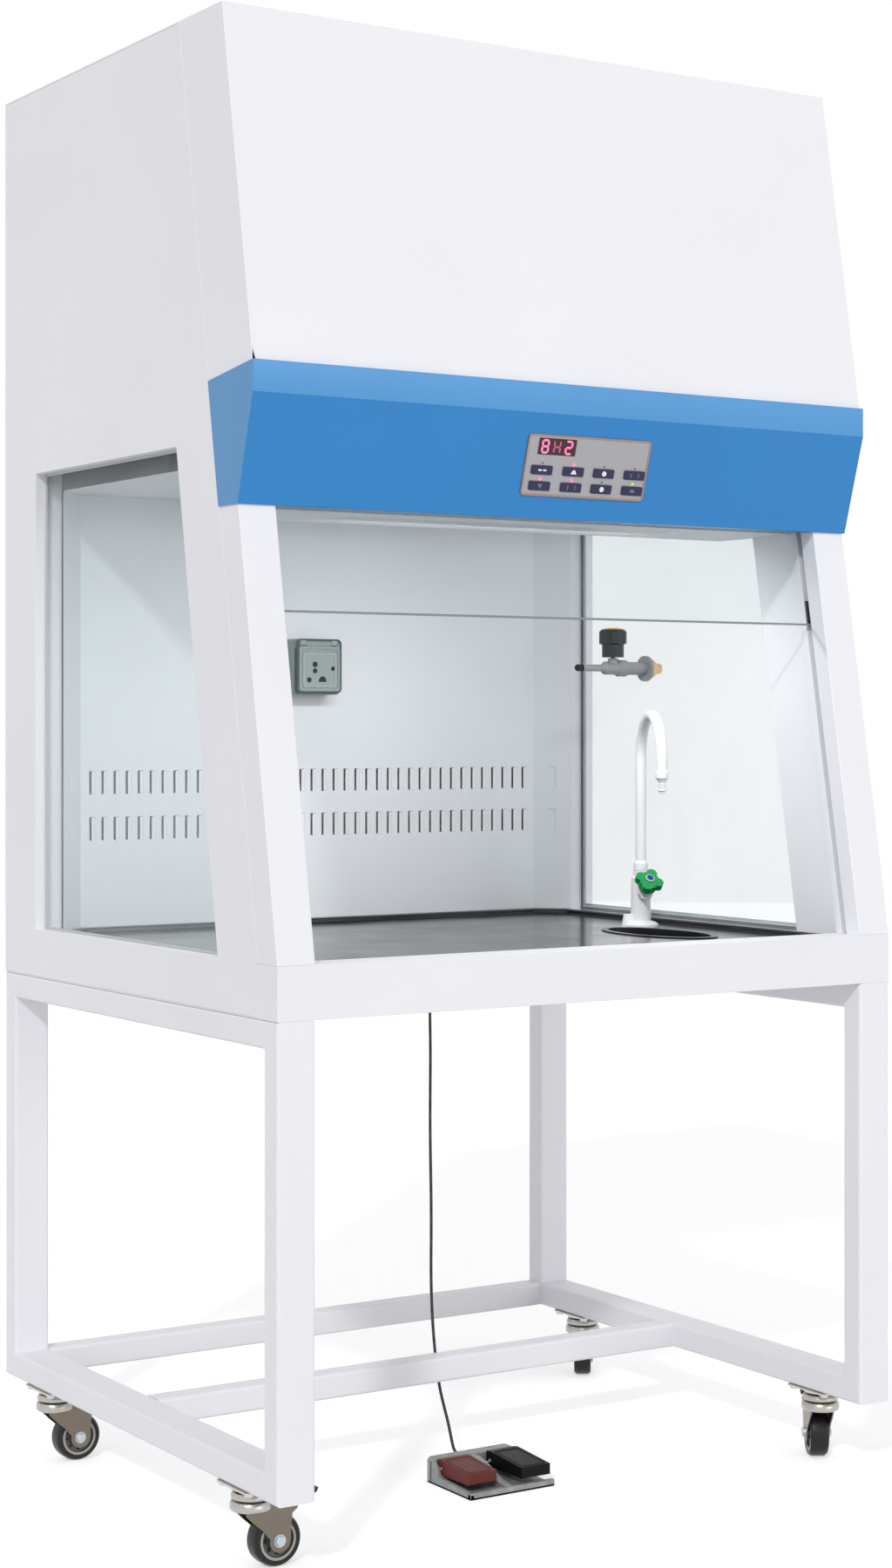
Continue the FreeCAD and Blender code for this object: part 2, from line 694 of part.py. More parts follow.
def wheel():
    """A tyre on a hub with a ring of lightening holes, about its own axle along Z."""
    rim = wheel_radius - tyre_thick
    half = tyre_width / 2
    hub = turned([(axle_radius + running, -half), (axle_radius + 6, -half), (axle_radius + 6, -half + 5),
                  (rim - 4, -half + 5), (rim - 4, -half + 1), (rim, -half + 1), (rim, half - 1),
                  (rim - 4, half - 1), (rim - 4, half - 5), (axle_radius + 6, half - 5),
                  (axle_radius + 6, half), (axle_radius + running, half)])
    ring_radius = (axle_radius + 6 + rim - 4) / 2
    holes = []
    for index in range(int(float(hub_holes))):
        angle = 2 * math.pi * index / int(float(hub_holes))
        middle = (ring_radius * math.cos(angle), ring_radius * math.sin(angle), -half)
        holes.append(cylinder(middle, hub_hole_radius, tyre_width))
    tyre = turned([(rim, -half + 1), (rim + 3, -half), (wheel_radius - 3, -half), (wheel_radius, -half + 5),
                   (wheel_radius, half - 5), (wheel_radius - 3, half), (rim + 3, half), (rim, half - 1)])
    return [cut(hub, *holes), tyre]


def brake():
    """A foot lever with its barrel and its wedge, about its own pin along Y."""
    barrel = ring((0, -cheek_inner + air, 0), brake_barrel, brake_pin + running, cheek_inner * 2 - air * 2, Y_AXIS)
    half = brake_wide / 2
    lift = tangent(brake_rise)
    start = brake_barrel * 0.9
    tip = brake_reach * cosine(brake_rise)
    blade = plate("XZ_Plane", [[(start, start * lift - brake_thick / 2), (tip, tip * lift - brake_thick / 2),
                                (tip + 3, tip * lift + brake_thick), (tip - 4, tip * lift + brake_thick / 2),
                                (start, start * lift + brake_thick / 2)]], -half + 6, brake_wide - 12)
    wide = plate("XZ_Plane", [[(14, 14 * lift - brake_thick / 2), (tip, tip * lift - brake_thick / 2),
                               (tip + 3, tip * lift + brake_thick), (14, 14 * lift + brake_thick / 2)]],
                 -half, brake_wide)
    neck = plate("XZ_Plane", [[(4.5, -3), (start + 1, start * lift - brake_thick / 2),
                               (start + 1, start * lift + brake_thick / 2), (4.5, 4.5)]],
                 -cheek_inner + air, cheek_inner * 2 - air * 2)
    wedge = plate("XZ_Plane", [[(-2, -6), (-7, -3), (-9.5, -5.5), (-5, -9)]], -10, 20)
    return fuse(barrel, blade, wide, neck, wedge)


plates = []
for corner, (across, along, heading) in caster_spots.items():
    plates += caster_plate(across, along)
    heading_turn = turn(Z_AXIS, heading)
    flat = turn(Z_AXIS, heading).multiply(turn(X_AXIS, 90))
    reach_cos, reach_sin = math.cos(math.radians(heading)), math.sin(math.radians(heading))
    part(corner + "_fork", place(fork(), (across, along, 0), heading_turn))
    axle_spot = (across + trail * reach_cos, along + trail * reach_sin, wheel_radius)
    hub, tyre = wheel()
    part(corner + "_wheel", place(hub, axle_spot, flat), place(tyre, axle_spot, flat))
    pin_reach = trail + brake_along
    pin_spot = (across + pin_reach * reach_cos, along + pin_reach * reach_sin, wheel_radius + brake_up)
    part(corner + "_brake", place(brake(), pin_spot, heading_turn))
part("caster_plates", *plates)

# Hood base
inner_face = half_width - side_thick
outer_face = half_width - outer_thick
beam_back = beam_deep - half_depth

rim_top = deck - top_drop
dish = rim_top - top_rise
slab_low = rim_top - top_thick
flat_half = inner_face - wing_wide


def ellipse_prism(middle, half_across, half_along, bottom, height):
    """An upright prism with an oval section."""
    if float(half_along) >= float(half_across):
        oval = Part.Ellipse(Vector(0, 0, 0), float(half_along), float(half_across))
        spin = 90
    else:
        oval = Part.Ellipse(Vector(0, 0, 0), float(half_across), float(half_along))
        spin = 0
    face = Part.Face(Part.Wire(oval.toShape()))
    return solid(face.extrude(Vector(0, 0, float(height))), (middle[0], middle[1], bottom), turn(Z_AXIS, spin))


sink_middle = (sink_across, sink_along)
pan = plate("XY_Plane", [rectangle((-half_width, -half_depth), (half_width, half_depth))], stand_top, skin)
add_pad(pan, "YZ_Plane", [[(-half_depth, stand_top), (skin - half_depth, stand_top), (skin - half_depth, deck - skin),
                           (beam_back, deck - skin), (beam_back, deck), (-half_depth, deck)]],
        -half_width, body_width)
for side in (LEFT, RIGHT):
    start, thickness = on_side(side, half_width - skin, half_width)
    add_pad(pan, "YZ_Plane", [rectangle((-half_depth, stand_top), (beam_back, deck))], start, thickness)
gland_hole = cylinder((gland_across, gland_along, stand_top - 1), gland_radius, skin + 2)
drain_hole = cylinder((sink_across, sink_along, stand_top - 1), drain_radius + reveal, skin + 2)
bearers = []
for across in (bearer_in - half_width, -bearer_middle, bearer_middle, half_width - bearer_in):
    foot = stand_top + skin
    near, far = across - bearer_half, across + bearer_half
    channel = [(near, foot), (far, foot), (far, foot + skin), (near + skin, foot + skin),
               (near + skin, slab_low - skin), (far, slab_low - skin), (far, slab_low), (near, slab_low)]
    bearers.append(plate("XZ_Plane", [channel], beam_back, baffle_back - beam_back))
part("base_pan", cut(pan, gland_hole, drain_hole), *bearers)

worktop_front = beam_back + reveal
slab_outline = [(-inner_face, worktop_front), (inner_face, worktop_front), (inner_face, wing_front),
                (flat_half, baffle_back), (-flat_half, baffle_back), (-inner_face, wing_front)]
dish_outline = [(-inner_face + upstand, worktop_front + upstand), (inner_face - upstand, worktop_front + upstand),
                (inner_face - upstand, wing_front - upstand / 2), (flat_half - upstand / 2, baffle_back - upstand),
                (-flat_half + upstand / 2, baffle_back - upstand), (-inner_face + upstand, wing_front - upstand / 2)]
slab = plate("XY_Plane", [slab_outline], slab_low, top_thick)
add_pocket(slab, "XY_Plane", [dish_outline], dish, top_rise)
round_edges(slab, upstand * 0.25, lambda edge: abs(edge.BoundBox.ZMin - float(rim_top)) < 0.01
            and edge.BoundBox.YMin > float(worktop_front) + 0.5)
bowl_hole = ellipse_prism(sink_middle, sink_half_wide - sink_lip + reveal, sink_half_long - sink_lip + reveal,
                          slab_low - 1, top_thick)
part("worktop", cut(slab, bowl_hole))

bowl_low = dish + 2 - sink_deep
bowl_in_wide, bowl_in_long = sink_half_wide - sink_lip - skin, sink_half_long - sink_lip - skin
bowl = fuse(ellipse_prism(sink_middle, sink_half_wide - sink_lip, sink_half_long - sink_lip, bowl_low, sink_deep - 1),
            ellipse_prism(sink_middle, sink_half_wide, sink_half_long, dish, 2),
            cylinder((sink_across, sink_along, bowl_low - drain_long), drain_radius, drain_grip),
            cylinder((sink_across, sink_along, bowl_low - drain_long), drain_radius - 1, drain_long + 1))
part("sink_cup", cut(bowl, ellipse_prism(sink_middle, bowl_in_wide, bowl_in_long, bowl_low + skin, sink_deep),
                     cylinder((sink_across, sink_along, bowl_low - drain_long - 1), drain_radius - 2,
                              drain_long + 6)))

# Side walls and windows
wall_bottom = stand_top + skin
wall_top = hood_top - cap


def seam(height, shift=0):
    """The leaning line where the side walls meet the posts, moved back by a shift."""
    return beam_back + (height - deck) * slope + shift


def window_corners(grow):
    """The window opening in the YZ plane, grown all round."""
    low, high = window_low - grow, window_high + grow
    front = window_front - grow / cosine(lean)
    return [(window_back + grow, low), (window_back + grow, high),
            (front + (high - window_low) * slope, high), (front + (low - window_low) * slope, low)]


def wall_outline(inset, back):
    """The outline of a side wall in the YZ plane, moved inwards."""
    low, high = wall_bottom + inset, wall_top - inset
    return [(back - inset, low), (back - inset, high), (seam(high) + inset / cosine(lean), high),
            (seam(deck) + inset / cosine(lean), deck), (beam_back + inset, low)]


def wall_pan(side, near, far, face_at_far, opening, back):
    """A folded side panel: a skin with a returned rim and a lined window opening."""
    face_near, face_far = (far - skin, far) if face_at_far else (near, near + skin)
    start, thickness = on_side(side, face_near, face_far)
    panel = plate("YZ_Plane", [wall_outline(0, back), window_corners(opening)], start, thickness)
    rim_near, rim_far = (near, far - skin) if face_at_far else (near + skin, far)
    start, thickness = on_side(side, rim_near, rim_far)
    add_pad(panel, "YZ_Plane", [wall_outline(0, back), wall_outline(skin, back)], start, thickness)
    add_pad(panel, "YZ_Plane", [window_corners(opening + skin), window_corners(opening)], start, thickness)
    return panel


for side, name in ((LEFT, "left"), (RIGHT, "right")):
    part(name + "_outer_panel", wall_pan(side, outer_face, half_width, True, 0, half_depth))
inner_side = [wall_pan(side, inner_face, outer_face, False, window_step, half_depth - skin) for side in (LEFT, RIGHT)]
part("inner_side_panels", *inner_side)

panes = []
for side in (LEFT, RIGHT):
    start, thickness = on_side(side, outer_face - glass_thick, outer_face)
    panes.append(plate("YZ_Plane", [window_corners(window_step - reveal)], start, thickness))
shank_hole = cylinder((outer_face - glass_thick - 1, valve_along, valve_up), shank_radius + air, glass_thick + 2, X_AXIS)
part("window_glass", panes[0], cut(panes[1], shank_hole))

# Rear and top sheets
grille_slots = 24


def post_front(height, shift=0):
    """The leaning front face of the posts, moved back by a shift."""
    return (height - deck) * slope - half_depth + shift


part("rear_panel", plate("XZ_Plane", [rectangle((-outer_face, wall_bottom), (outer_face, wall_top))],
                         half_depth - skin, skin))
top = plate("XY_Plane", [rectangle((-half_width, seam(hood_top)), (half_width, half_depth))], wall_top, cap)
first_slot = -(grille_slots - 1) / 2 * grille_pitch
slot = add_pocket(top, "XY_Plane", [rectangle((first_slot - grille_wide / 2, fan_along - grille_long / 2),
                                              (first_slot + grille_wide / 2, fan_along + grille_long / 2))],
                  wall_top, cap)
add_row(top, slot, "YZ_Plane", grille_pitch, grille_slots)
part("top_panel", top)


def cover_front(height, shift=0):
    """The leaning front of the upper cover, moved back by a shift."""
    return post_front(height, shift) - cover_out


chamfer_top = cover_low + cover_chamfer
cover = plate("YZ_Plane", [[(cover_front(chamfer_top) + cover_chamfer, cover_low), (cover_front(chamfer_top), chamfer_top),
                            (cover_front(hood_top), hood_top), (seam(hood_top), hood_top),
                            (seam(cover_low), cover_low)]], -half_width, body_width)
lip_end = cover_front(chamfer_top) + cover_chamfer + cover_lip
add_pocket(cover, "YZ_Plane", [[(cover_front(chamfer_top) + cover_chamfer + 1, cover_low + skin),
                                (cover_front(chamfer_top, skin), chamfer_top + 1),
                                (cover_front(hood_top - skin, skin), hood_top - skin),
                                (seam(hood_top, 20), hood_top - skin), (seam(cover_low, 20), cover_low - 1),
                                (lip_end, cover_low - 1), (lip_end, cover_low + skin)]],
           skin - half_width, body_width - skin * 2)
part("front_cover", cover)

# Front posts with their sash tracks
post_inner = half_width - post_wide
sash_half = post_inner + sash_bite


def leaning(near, far, low, high):
    """A leaning strip in the YZ plane, by its distances behind the face of the posts."""
    return [(post_front(low, near), low), (post_front(low, far), low), (post_front(high, far), high),
            (post_front(high, near), high)]


def post(side):
    """A hollow post with the grooved sash track behind it."""
    start, thickness = on_side(side, post_inner, half_width)
    body = plate("YZ_Plane", [leaning(0, post_deep, deck, post_high)], start, thickness)
    round_edges(body, skin, lambda edge: edge.Length > float(post_high - deck)
                and abs(edge.CenterOfMass.y - float(post_front(edge.CenterOfMass.z))) < 0.1)
    back = post_deep + track_deep
    start, thickness = on_side(side, post_inner, post_inner + track_wide)
    add_pad(body, "YZ_Plane", [leaning(post_deep, back, deck, track_high)], start, thickness)
    start, thickness = on_side(side, post_inner + track_wide - skin, half_width)
    add_pad(body, "YZ_Plane", [leaning(post_deep - skin, back, deck, post_high)], start, thickness)
    over, under = track_high + 10, deck - 10
    start, thickness = on_side(side, post_inner + skin, half_width - skin)
    add_pocket(body, "YZ_Plane", [leaning(skin, post_deep - skin, under, over)], start, thickness)
    start, thickness = on_side(side, post_inner - 1, post_inner + groove_deep)
    add_pocket(body, "YZ_Plane", [leaning(groove_from, groove_from + groove_wide, under, over)], start, thickness)
    start, thickness = on_side(side, post_inner + skin * 2, post_inner + track_wide - skin * 2)
    hollow = groove_from + groove_wide + skin
    add_pocket(body, "YZ_Plane", [leaning(hollow, back - skin, under, over)], start, thickness)
    start, thickness = on_side(side, post_inner + groove_deep + skin, post_inner + track_wide - skin * 2)
    add_pocket(body, "YZ_Plane", [leaning(groove_from, groove_from + groove_wide, under, over)], start, thickness)
    return body


part("left_post", post(LEFT))
part("right_post", post(RIGHT))

# Control fascia
cheek_face = half_width + cap
fascia_slope = (fascia_high - fascia_back_high) / (fascia_out + seam(fascia_back_high, -2))


def fascia_top(along):
    """The height of the sloping top of the fascia at a distance along the hood."""
    return fascia_high - (along + fascia_out) * fascia_slope


fascia = plate("YZ_Plane", [[(seam(fascia_back_high, -2), fascia_back_high), (-fascia_out, fascia_high),
                             (-fascia_out, fascia_bend), (-fascia_tuck, fascia_low),
                             (seam(fascia_low, -2), fascia_low)]], -cheek_face, cheek_face * 2)
shelf_end = fascia_shelf - fascia_out
return_end = fascia_return - fascia_tuck
add_pocket(fascia, "YZ_Plane", [[(skin - fascia_out, fascia_top(skin - fascia_out) - skin),
                                 (skin - fascia_out, fascia_bend + 0.3),
                                 (skin * 1.1 - fascia_tuck, fascia_low + skin), (return_end, fascia_low + skin),
                                 (return_end, fascia_low - 1), (seam(fascia_low, 20), fascia_low - 1),
                                 (seam(fascia_high, 20), fascia_high + 5), (shelf_end, fascia_high + 5),
                                 (shelf_end, fascia_top(shelf_end) - skin)]],
           -half_width, body_width)
for side in (LEFT, RIGHT):
    start, thickness = on_side(side, post_inner - air, half_width)
    front = post_front(fascia_low, -air)
    add_pocket(fascia, "YZ_Plane", [[(front, fascia_low - 1), (return_end + 1, fascia_low - 1),
                                     (return_end + 1, fascia_low + skin + 1),
                                     (front + (skin + 1) * slope, fascia_low + skin + 1)]], start, thickness)

# Control plate and keys, laid out on the leaning face of the fascia
face_run = fascia_out - fascia_tuck
face_drop = fascia_bend - fascia_low
face_angle = math.degrees(math.atan2(float(face_run), float(face_drop)))
face_long = math.hypot(float(face_run), float(face_drop))
face_turn = turn(X_AXIS, 90 + face_angle)
down_share = plate_down / face_long
plate_spot = (plate_across, face_run * down_share - fascia_out, fascia_bend - face_drop * down_share)
key_columns = (-81, -24, 32, 89)
key_rows = (-7, -31)
display_corners = ((-93, 16), (-25, 41))


def on_face(item):
    """Puts a piece made about the control plate's centre on the leaning face."""
    return place(item, plate_spot, face_turn)


panel_frame = rectangle((-panel_wide / 2, -panel_high / 2), (panel_wide / 2, panel_high / 2))
control = plate("XY_Plane", [panel_frame], 0, panel_thick)
round_edges(control, panel_corner, runs_along(Z_AXIS))
add_pocket(control, "XY_Plane", [rectangle(*display_corners)], panel_thick - 0.6, 0.6)
for row_up in key_rows:
    for column in key_columns:
        low = (column - key_wide / 2 + key_rim - air, row_up - key_high / 2 + key_rim - air)
        high = (column + key_wide / 2 - key_rim + air, row_up + key_high / 2 - key_rim + air)
        add_pocket(control, "XY_Plane", [rectangle(low, high)], -1, panel_thick + 2)
        led = circle_loop((column, row_up + 10.5), 1.2, 8)
        add_pocket(control, "XY_Plane", [led], panel_thick - 0.4, 0.4)
part("control_plate", on_face(control))
number = 0
for row_up in key_rows:
    for column in key_columns:
        number += 1
        low, high = (column - key_wide / 2, row_up - key_high / 2), (column + key_wide / 2, row_up + key_high / 2)
        bottom = panel_thick + key_travel + air
        key = plate("XY_Plane", [rectangle(low, high)], bottom, key_thick)
        round_edges(key, 2, runs_along(Z_AXIS))
        low = (low[0] + key_rim, low[1] + key_rim)
        high = (high[0] - key_rim, high[1] - key_rim)
        add_pad(key, "XY_Plane", [rectangle(low, high)], -key_stem, key_stem + bottom)
        part("key_%d" % number, on_face(key))
window_cut = plate("XY_Plane", [rectangle((panel_rim - panel_wide / 2, panel_rim - panel_high / 2),
                                          (panel_wide / 2 - panel_rim, panel_high / 2 - panel_rim))], -8, 9)
part("control_fascia", cut(fascia, on_face(window_cut)))

# Work chamber sheets
slot_rows = (995, 1071)
slots_across = 40
wing_fold = skin * 0.4
slot_pitch = (flat_half - slot_edge) * 2 / (slots_across - 1)
baffle = plate("XY_Plane", [[(-inner_face, wing_front), (-flat_half, baffle_back), (flat_half, baffle_back),
                             (inner_face, wing_front), (inner_face, wing_front + skin * 1.4),
                             (flat_half + wing_fold, baffle_back + skin), (-flat_half - wing_fold, baffle_back + skin),
                             (-inner_face, wing_front + skin * 1.4)]], rim_top, baffle_top - rim_top)
for low in slot_rows:
    first = -(slots_across - 1) / 2 * slot_pitch
    opening = add_pocket(baffle, "XZ_Plane", [rectangle((first - slot_wide / 2, low),
                                                        (first + slot_wide / 2, low + slot_high))],
                         baffle_back - 1, skin + 2)
    add_row(baffle, opening, "YZ_Plane", slot_pitch, slots_across)
for side in (LEFT, RIGHT):
    wing_middle = (flat_half + wing_wide / 2) * side
    for low in slot_rows:
        add_pocket(baffle, "XZ_Plane", [rectangle((wing_middle - slot_wide / 2, low),
                                                  (wing_middle + slot_wide / 2, low + slot_high))],
                   wing_front - 1, wing_deep + skin * 2)
part("rear_baffle", baffle)

filter_front = fan_along - filter_long / 2
filter_back = fan_along + filter_long / 2
ceiling_hole = rectangle((filter_ledge - filter_wide / 2, filter_front + filter_ledge),
                         (filter_wide / 2 - filter_ledge, filter_back - filter_ledge))
ceiling_outline = [(-inner_face, ceiling_front), (inner_face, ceiling_front), (inner_face, wing_front),
                   (flat_half, baffle_back + skin), (-flat_half, baffle_back + skin), (-inner_face, wing_front)]
part("ceiling_panel", plate("XY_Plane", [ceiling_outline, ceiling_hole], baffle_top, skin))

bulkhead_low = fascia_low
bulk_shift = post_deep + track_deep + 1
bulkhead = plate("YZ_Plane", [[(post_front(bulkhead_high, bulk_shift), bulkhead_high),
                               (post_front(bulkhead_low, bulk_shift), bulkhead_low), (ceiling_front, bulkhead_low),
                               (ceiling_front, baffle_top + skin), (ceiling_front - skin, baffle_top + skin),
                               (ceiling_front - skin, bulkhead_low + skin),
                               (post_front(bulkhead_low + skin, bulk_shift + skin), bulkhead_low + skin),
                               (post_front(bulkhead_high, bulk_shift + skin), bulkhead_high)]],
                 -inner_face, inner_face * 2)
lamp_half = (lamp_wide / 2, lamp_long / 2)
add_pocket(bulkhead, "XY_Plane", [rectangle((-lamp_half[0], lamp_along - lamp_half[1]),
                                            (lamp_half[0], lamp_along + lamp_half[1]))], bulkhead_low - 1, skin + 2)
part("front_bulkhead", bulkhead)
lamp_case = plate("XY_Plane", [rectangle((air - lamp_half[0], lamp_along - lamp_half[1] + air),
                                         (lamp_half[0] - air, lamp_along + lamp_half[1] - air))],
                  bulkhead_low, lamp_high)
add_pad(lamp_case, "XY_Plane", [rectangle((-lamp_half[0] - 8, lamp_along - lamp_half[1] - 8),
                                          (lamp_half[0] + 8, lamp_along + lamp_half[1] + 8))],
        bulkhead_low + skin, skin)
part("lamp", lamp_case)

# Filters and blower
filter_low = baffle_top + skin
carbon_low = filter_low + prefilter_high
fan_low = carbon_low + carbon_high


def filter_loop(inset):
    """The outline of the filters seen from above, moved inwards."""
    return rectangle((inset - filter_wide / 2, filter_front + inset), (filter_wide / 2 - inset, filter_back - inset))


def pleats(count, low, high):
    """A zigzag sheet seen from the front, across the prefilter's frame."""
    width = filter_wide - frame_wide * 2
    under, over = [], []
    for index in range(count + 1):
        across = width * (index / count) - width / 2
        level = low if index % 2 == 0 else high
        under.append((across, level))
        over.append((across, level + 1.5))
    return under + over[::-1]


pleated = plate("XZ_Plane", [pleats(24, filter_low + 4, carbon_low - 6)], filter_front + frame_wide,
                filter_long - frame_wide * 2)
part("prefilter", plate("XY_Plane", [filter_loop(0), filter_loop(frame_wide)], filter_low, prefilter_high), pleated)
casing = plate("XY_Plane", [filter_loop(0), filter_loop(skin)], carbon_low, carbon_high)
bed = plate("XY_Plane", [filter_loop(skin)], carbon_low + 10, carbon_high - 20)
part("carbon_filter", casing, bed)

blade_count = 9
fan_deck = plate("XY_Plane", [filter_loop(0)], fan_low, skin)
fan_top = fan_low + skin + shroud_high
housing = fuse(fan_deck, cylinder((0, fan_along, fan_low), shroud_radius + skin, skin + shroud_high))
housing = cut(housing, cylinder((0, fan_along, fan_low + skin), shroud_radius, shroud_high + 1),
              cylinder((0, fan_along, fan_low - 1), inlet_radius, skin + 2))
arm = box((-shroud_radius - skin, fan_along - 15, fan_top - 4), (shroud_radius + skin, fan_along + 15, fan_top))
second_arm = box((-15, fan_along - shroud_radius - skin, fan_top - 4),
                 (15, fan_along + shroud_radius + skin, fan_top))
motor = cylinder((0, fan_along, fan_top - 4 - motor_high), motor_radius, motor_high)
impeller_low = fan_low + skin + wheel_gap
hub_top = impeller_low + wheel_high
shaft = cylinder((0, fan_along, hub_top - 30), shaft_radius, fan_top - hub_top + 20)
part("blower_housing", fuse(housing, arm, second_arm, motor, shaft))


def blade(index):
    """A backward-curved blade between the front ring and the back plate."""
    start = 2 * math.pi * index / blade_count
    inner, outer = float(inlet_radius) - 4, float(wheel_out) - 1
    points = []
    for step in range(3):
        share = step / 2
        radius = inner + (outer - inner) * share
        angle = start - math.radians(38) * share
        points.append(Vector(radius * math.cos(angle), radius * math.sin(angle), 0))
    line = Part.Arc(*points).toShape()
    inward = [point * ((point.Length - float(blade_thick)) / point.Length) for point in points]
    shifted = [Rotation(Z_AXIS, -1.4).multVec(point) for point in inward]
    back = Part.Arc(*shifted).toShape()
    ends = [Part.LineSegment(points[2], shifted[2]).toShape(), Part.LineSegment(shifted[0], points[0]).toShape()]
    face = Part.Face(Part.Wire(Part.__sortEdges__([line, back] + ends)))
    return face.extrude(Vector(0, 0, float(wheel_high) - 2))


back_plate = turned([(shaft_radius + running, wheel_high - 26), (18, wheel_high - 26), (20, wheel_high - 3),
                     (wheel_out, wheel_high - 3), (wheel_out, wheel_high), (shaft_radius + running, wheel_high)])
front_ring = turned([(inlet_radius - 6, 0), (wheel_out, 12), (wheel_out, 14.5), (inlet_radius - 6, 2.5)])
blades = []
for index in range(blade_count):
    blades.append(solid(blade(index), (0, 0, 1)))
spot = (0, fan_along, impeller_low)
part("blower_impeller", place(fuse(back_plate, front_ring, *blades), spot))

# Socket on the baffle
socket_right = socket_left + socket_wide
socket_top = socket_low + socket_high
socket_front = baffle_back - socket_deep
box_body = plate("XZ_Plane", [rectangle((socket_left, socket_low), (socket_right, socket_top))], socket_front,
                 socket_deep)
round_edges(box_body, 6, runs_along(Y_AXIS))
faces = [cylinder((socket_left + 27, socket_front - 1, socket_low + 42), 13, 19, Y_AXIS),
         cylinder((socket_left + 63, socket_front - 1, socket_low + 42), 13, 19, Y_AXIS)]
hinge_up = socket_top - 6
hinge_out = socket_front - 5
knuckle = 12
ears = []
for side_start in (socket_left + 8, socket_right - 8 - knuckle):
    ears.append(box((side_start, hinge_out - 3, hinge_up - 5), (side_start + knuckle, socket_front + 1, hinge_up + 4)))
pin = cylinder((socket_left + 8, hinge_out, hinge_up), hinge_radius * 0.5, socket_wide - 16, X_AXIS)
part("socket_box", fuse(cut(box_body, *faces), pin, *ears))
lid_top = hinge_up - 6
lid = plate("XZ_Plane", [rectangle((socket_left + 4, socket_low + 5), (socket_right - 4, lid_top))],
            socket_front - air - lid_thick, lid_thick)
round_edges(lid, 5, runs_along(Y_AXIS))
barrel = ring((socket_left + 8 + knuckle + air, hinge_out, hinge_up), hinge_radius, hinge_radius * 0.5 + running,
              socket_wide - 16 - knuckle * 2 - air * 2, X_AXIS)
web = box((socket_left + 8 + knuckle + air, hinge_out - hinge_radius, lid_top - 1),
          (socket_right - 8 - knuckle - air, hinge_out - hinge_radius * 0.55, hinge_up))
dents = []
for middle in ((socket_left + 30, socket_low + 50), (socket_left + 58, socket_low + 50), (socket_left + 45, socket_low + 24)):
    dents.append(cylinder((middle[0], socket_front - lid_thick - 1, middle[1]), 7, 3, Y_AXIS))
lid_cut = cut(lid, *dents)
part("socket_cover", fuse(lid_cut, barrel, web))

# Gas valve through the right window
pane_face = outer_face - glass_thick
knob_across = pane_face - knob_in
shank_end = half_width + cap
axis_point = (valve_along, valve_up)
valve_half = [(0, 0), (neck_radius * 0.7, 0), (neck_radius, 3), (neck_radius, 10), (neck_radius - 2, 12),
              (neck_radius, 14), (neck_radius, outlet_long - 4), (valve_radius - 3, outlet_long),
              (valve_radius, outlet_long + 4), (valve_radius, outlet_long + 30), (valve_radius + 3, outlet_long + 32),
              (valve_radius + 3, outlet_long + 48), (valve_radius, outlet_long + 50),
              (valve_radius, outlet_long + valve_long - flange_thick), (flange_radius, outlet_long + valve_long - flange_thick),
              (flange_radius, outlet_long + valve_long), (shank_core, outlet_long + valve_long),
              (shank_core, outlet_long + valve_long + glass_thick + locknut_thick),
              (shank_radius, outlet_long + valve_long + glass_thick + locknut_thick),
              (shank_radius, outlet_long + valve_long + shank_end - pane_face),
              (0, outlet_long + valve_long + shank_end - pane_face)]
valve_body = place(turned(valve_half), (pane_face - valve_long - outlet_long, valve_along, valve_up), towards(X_AXIS))
locknut = cut(plate("YZ_Plane", [circle_loop(axis_point, 16, 6)], outer_face, locknut_thick),
              cylinder((outer_face - 1, valve_along, valve_up), shank_core, locknut_thick + 2, X_AXIS))
stem = cylinder((knob_across, valve_along, valve_up), 4, knob_low + knob_high * 0.6)
bonnet = cylinder((knob_across, valve_along, valve_up), 9, knob_low - 2)
part("gas_valve", fuse(valve_body, stem, bonnet), locknut)
gas_half = [(4 + running, 0), (knob_radius * 0.78, 0), (knob_radius * 0.78, knob_high * 0.45),
            (knob_radius, knob_high * 0.5), (knob_radius, knob_high - 4), (knob_radius - 4, knob_high),
            (0, knob_high), (0, knob_high * 0.6 + air), (4 + running, knob_high * 0.6 + air)]
gas_knob = turned(gas_half)
flutes = []
for index in range(6):
    angle = math.radians(60 * index + 30)
    flutes.append(cylinder(((knob_radius + 9) * math.cos(angle), (knob_radius + 9) * math.sin(angle),
                            knob_high * 0.45), 13, knob_high))
part("gas_valve_knob", place(cut(gas_knob, *flutes), (knob_across, valve_along, valve_up + knob_low)))

# Tap at the right of the worktop
tap_foot = (faucet_across, faucet_along, dish)
tap_half = [(0, 0), (base_radius, 0), (base_radius, 5), (base_radius - 6, 9), (riser_radius + 5, 11),
            (riser_radius + 4, collar_up - 12), (riser_radius + 1, collar_up - 8), (riser_radius + 1, collar_up),
            (tube_radius - 1.6, collar_up), (tube_radius - 1.6, collar_up - 30), (0, collar_up - 30)]
tap_body = place(turned(tap_half), tap_foot)
knob_heading = Vector(-0.31, -0.95, 0).normalize()
knob_axis = (knob_heading + Z_AXIS).normalize()
valve_rise = 58
arm_start = (faucet_across, faucet_along, dish + valve_rise)
knob_root = Vector(float(faucet_across), float(faucet_along), float(dish) + valve_rise) + knob_heading * 22
side_valve = cylinder(arm_start, 11, 30, knob_heading)
knob_seat = cylinder(tuple(knob_root), 10, 14, knob_axis)
knob_stem = cylinder(tuple(knob_root), 4, 34, knob_axis)
bulge = cone((faucet_across - 20, faucet_along + 8, dish), 12, 8, 22)
part("faucet_body", fuse(tap_body, side_valve, knob_seat, knob_stem, bulge))
knob_place = knob_root + knob_axis * 15
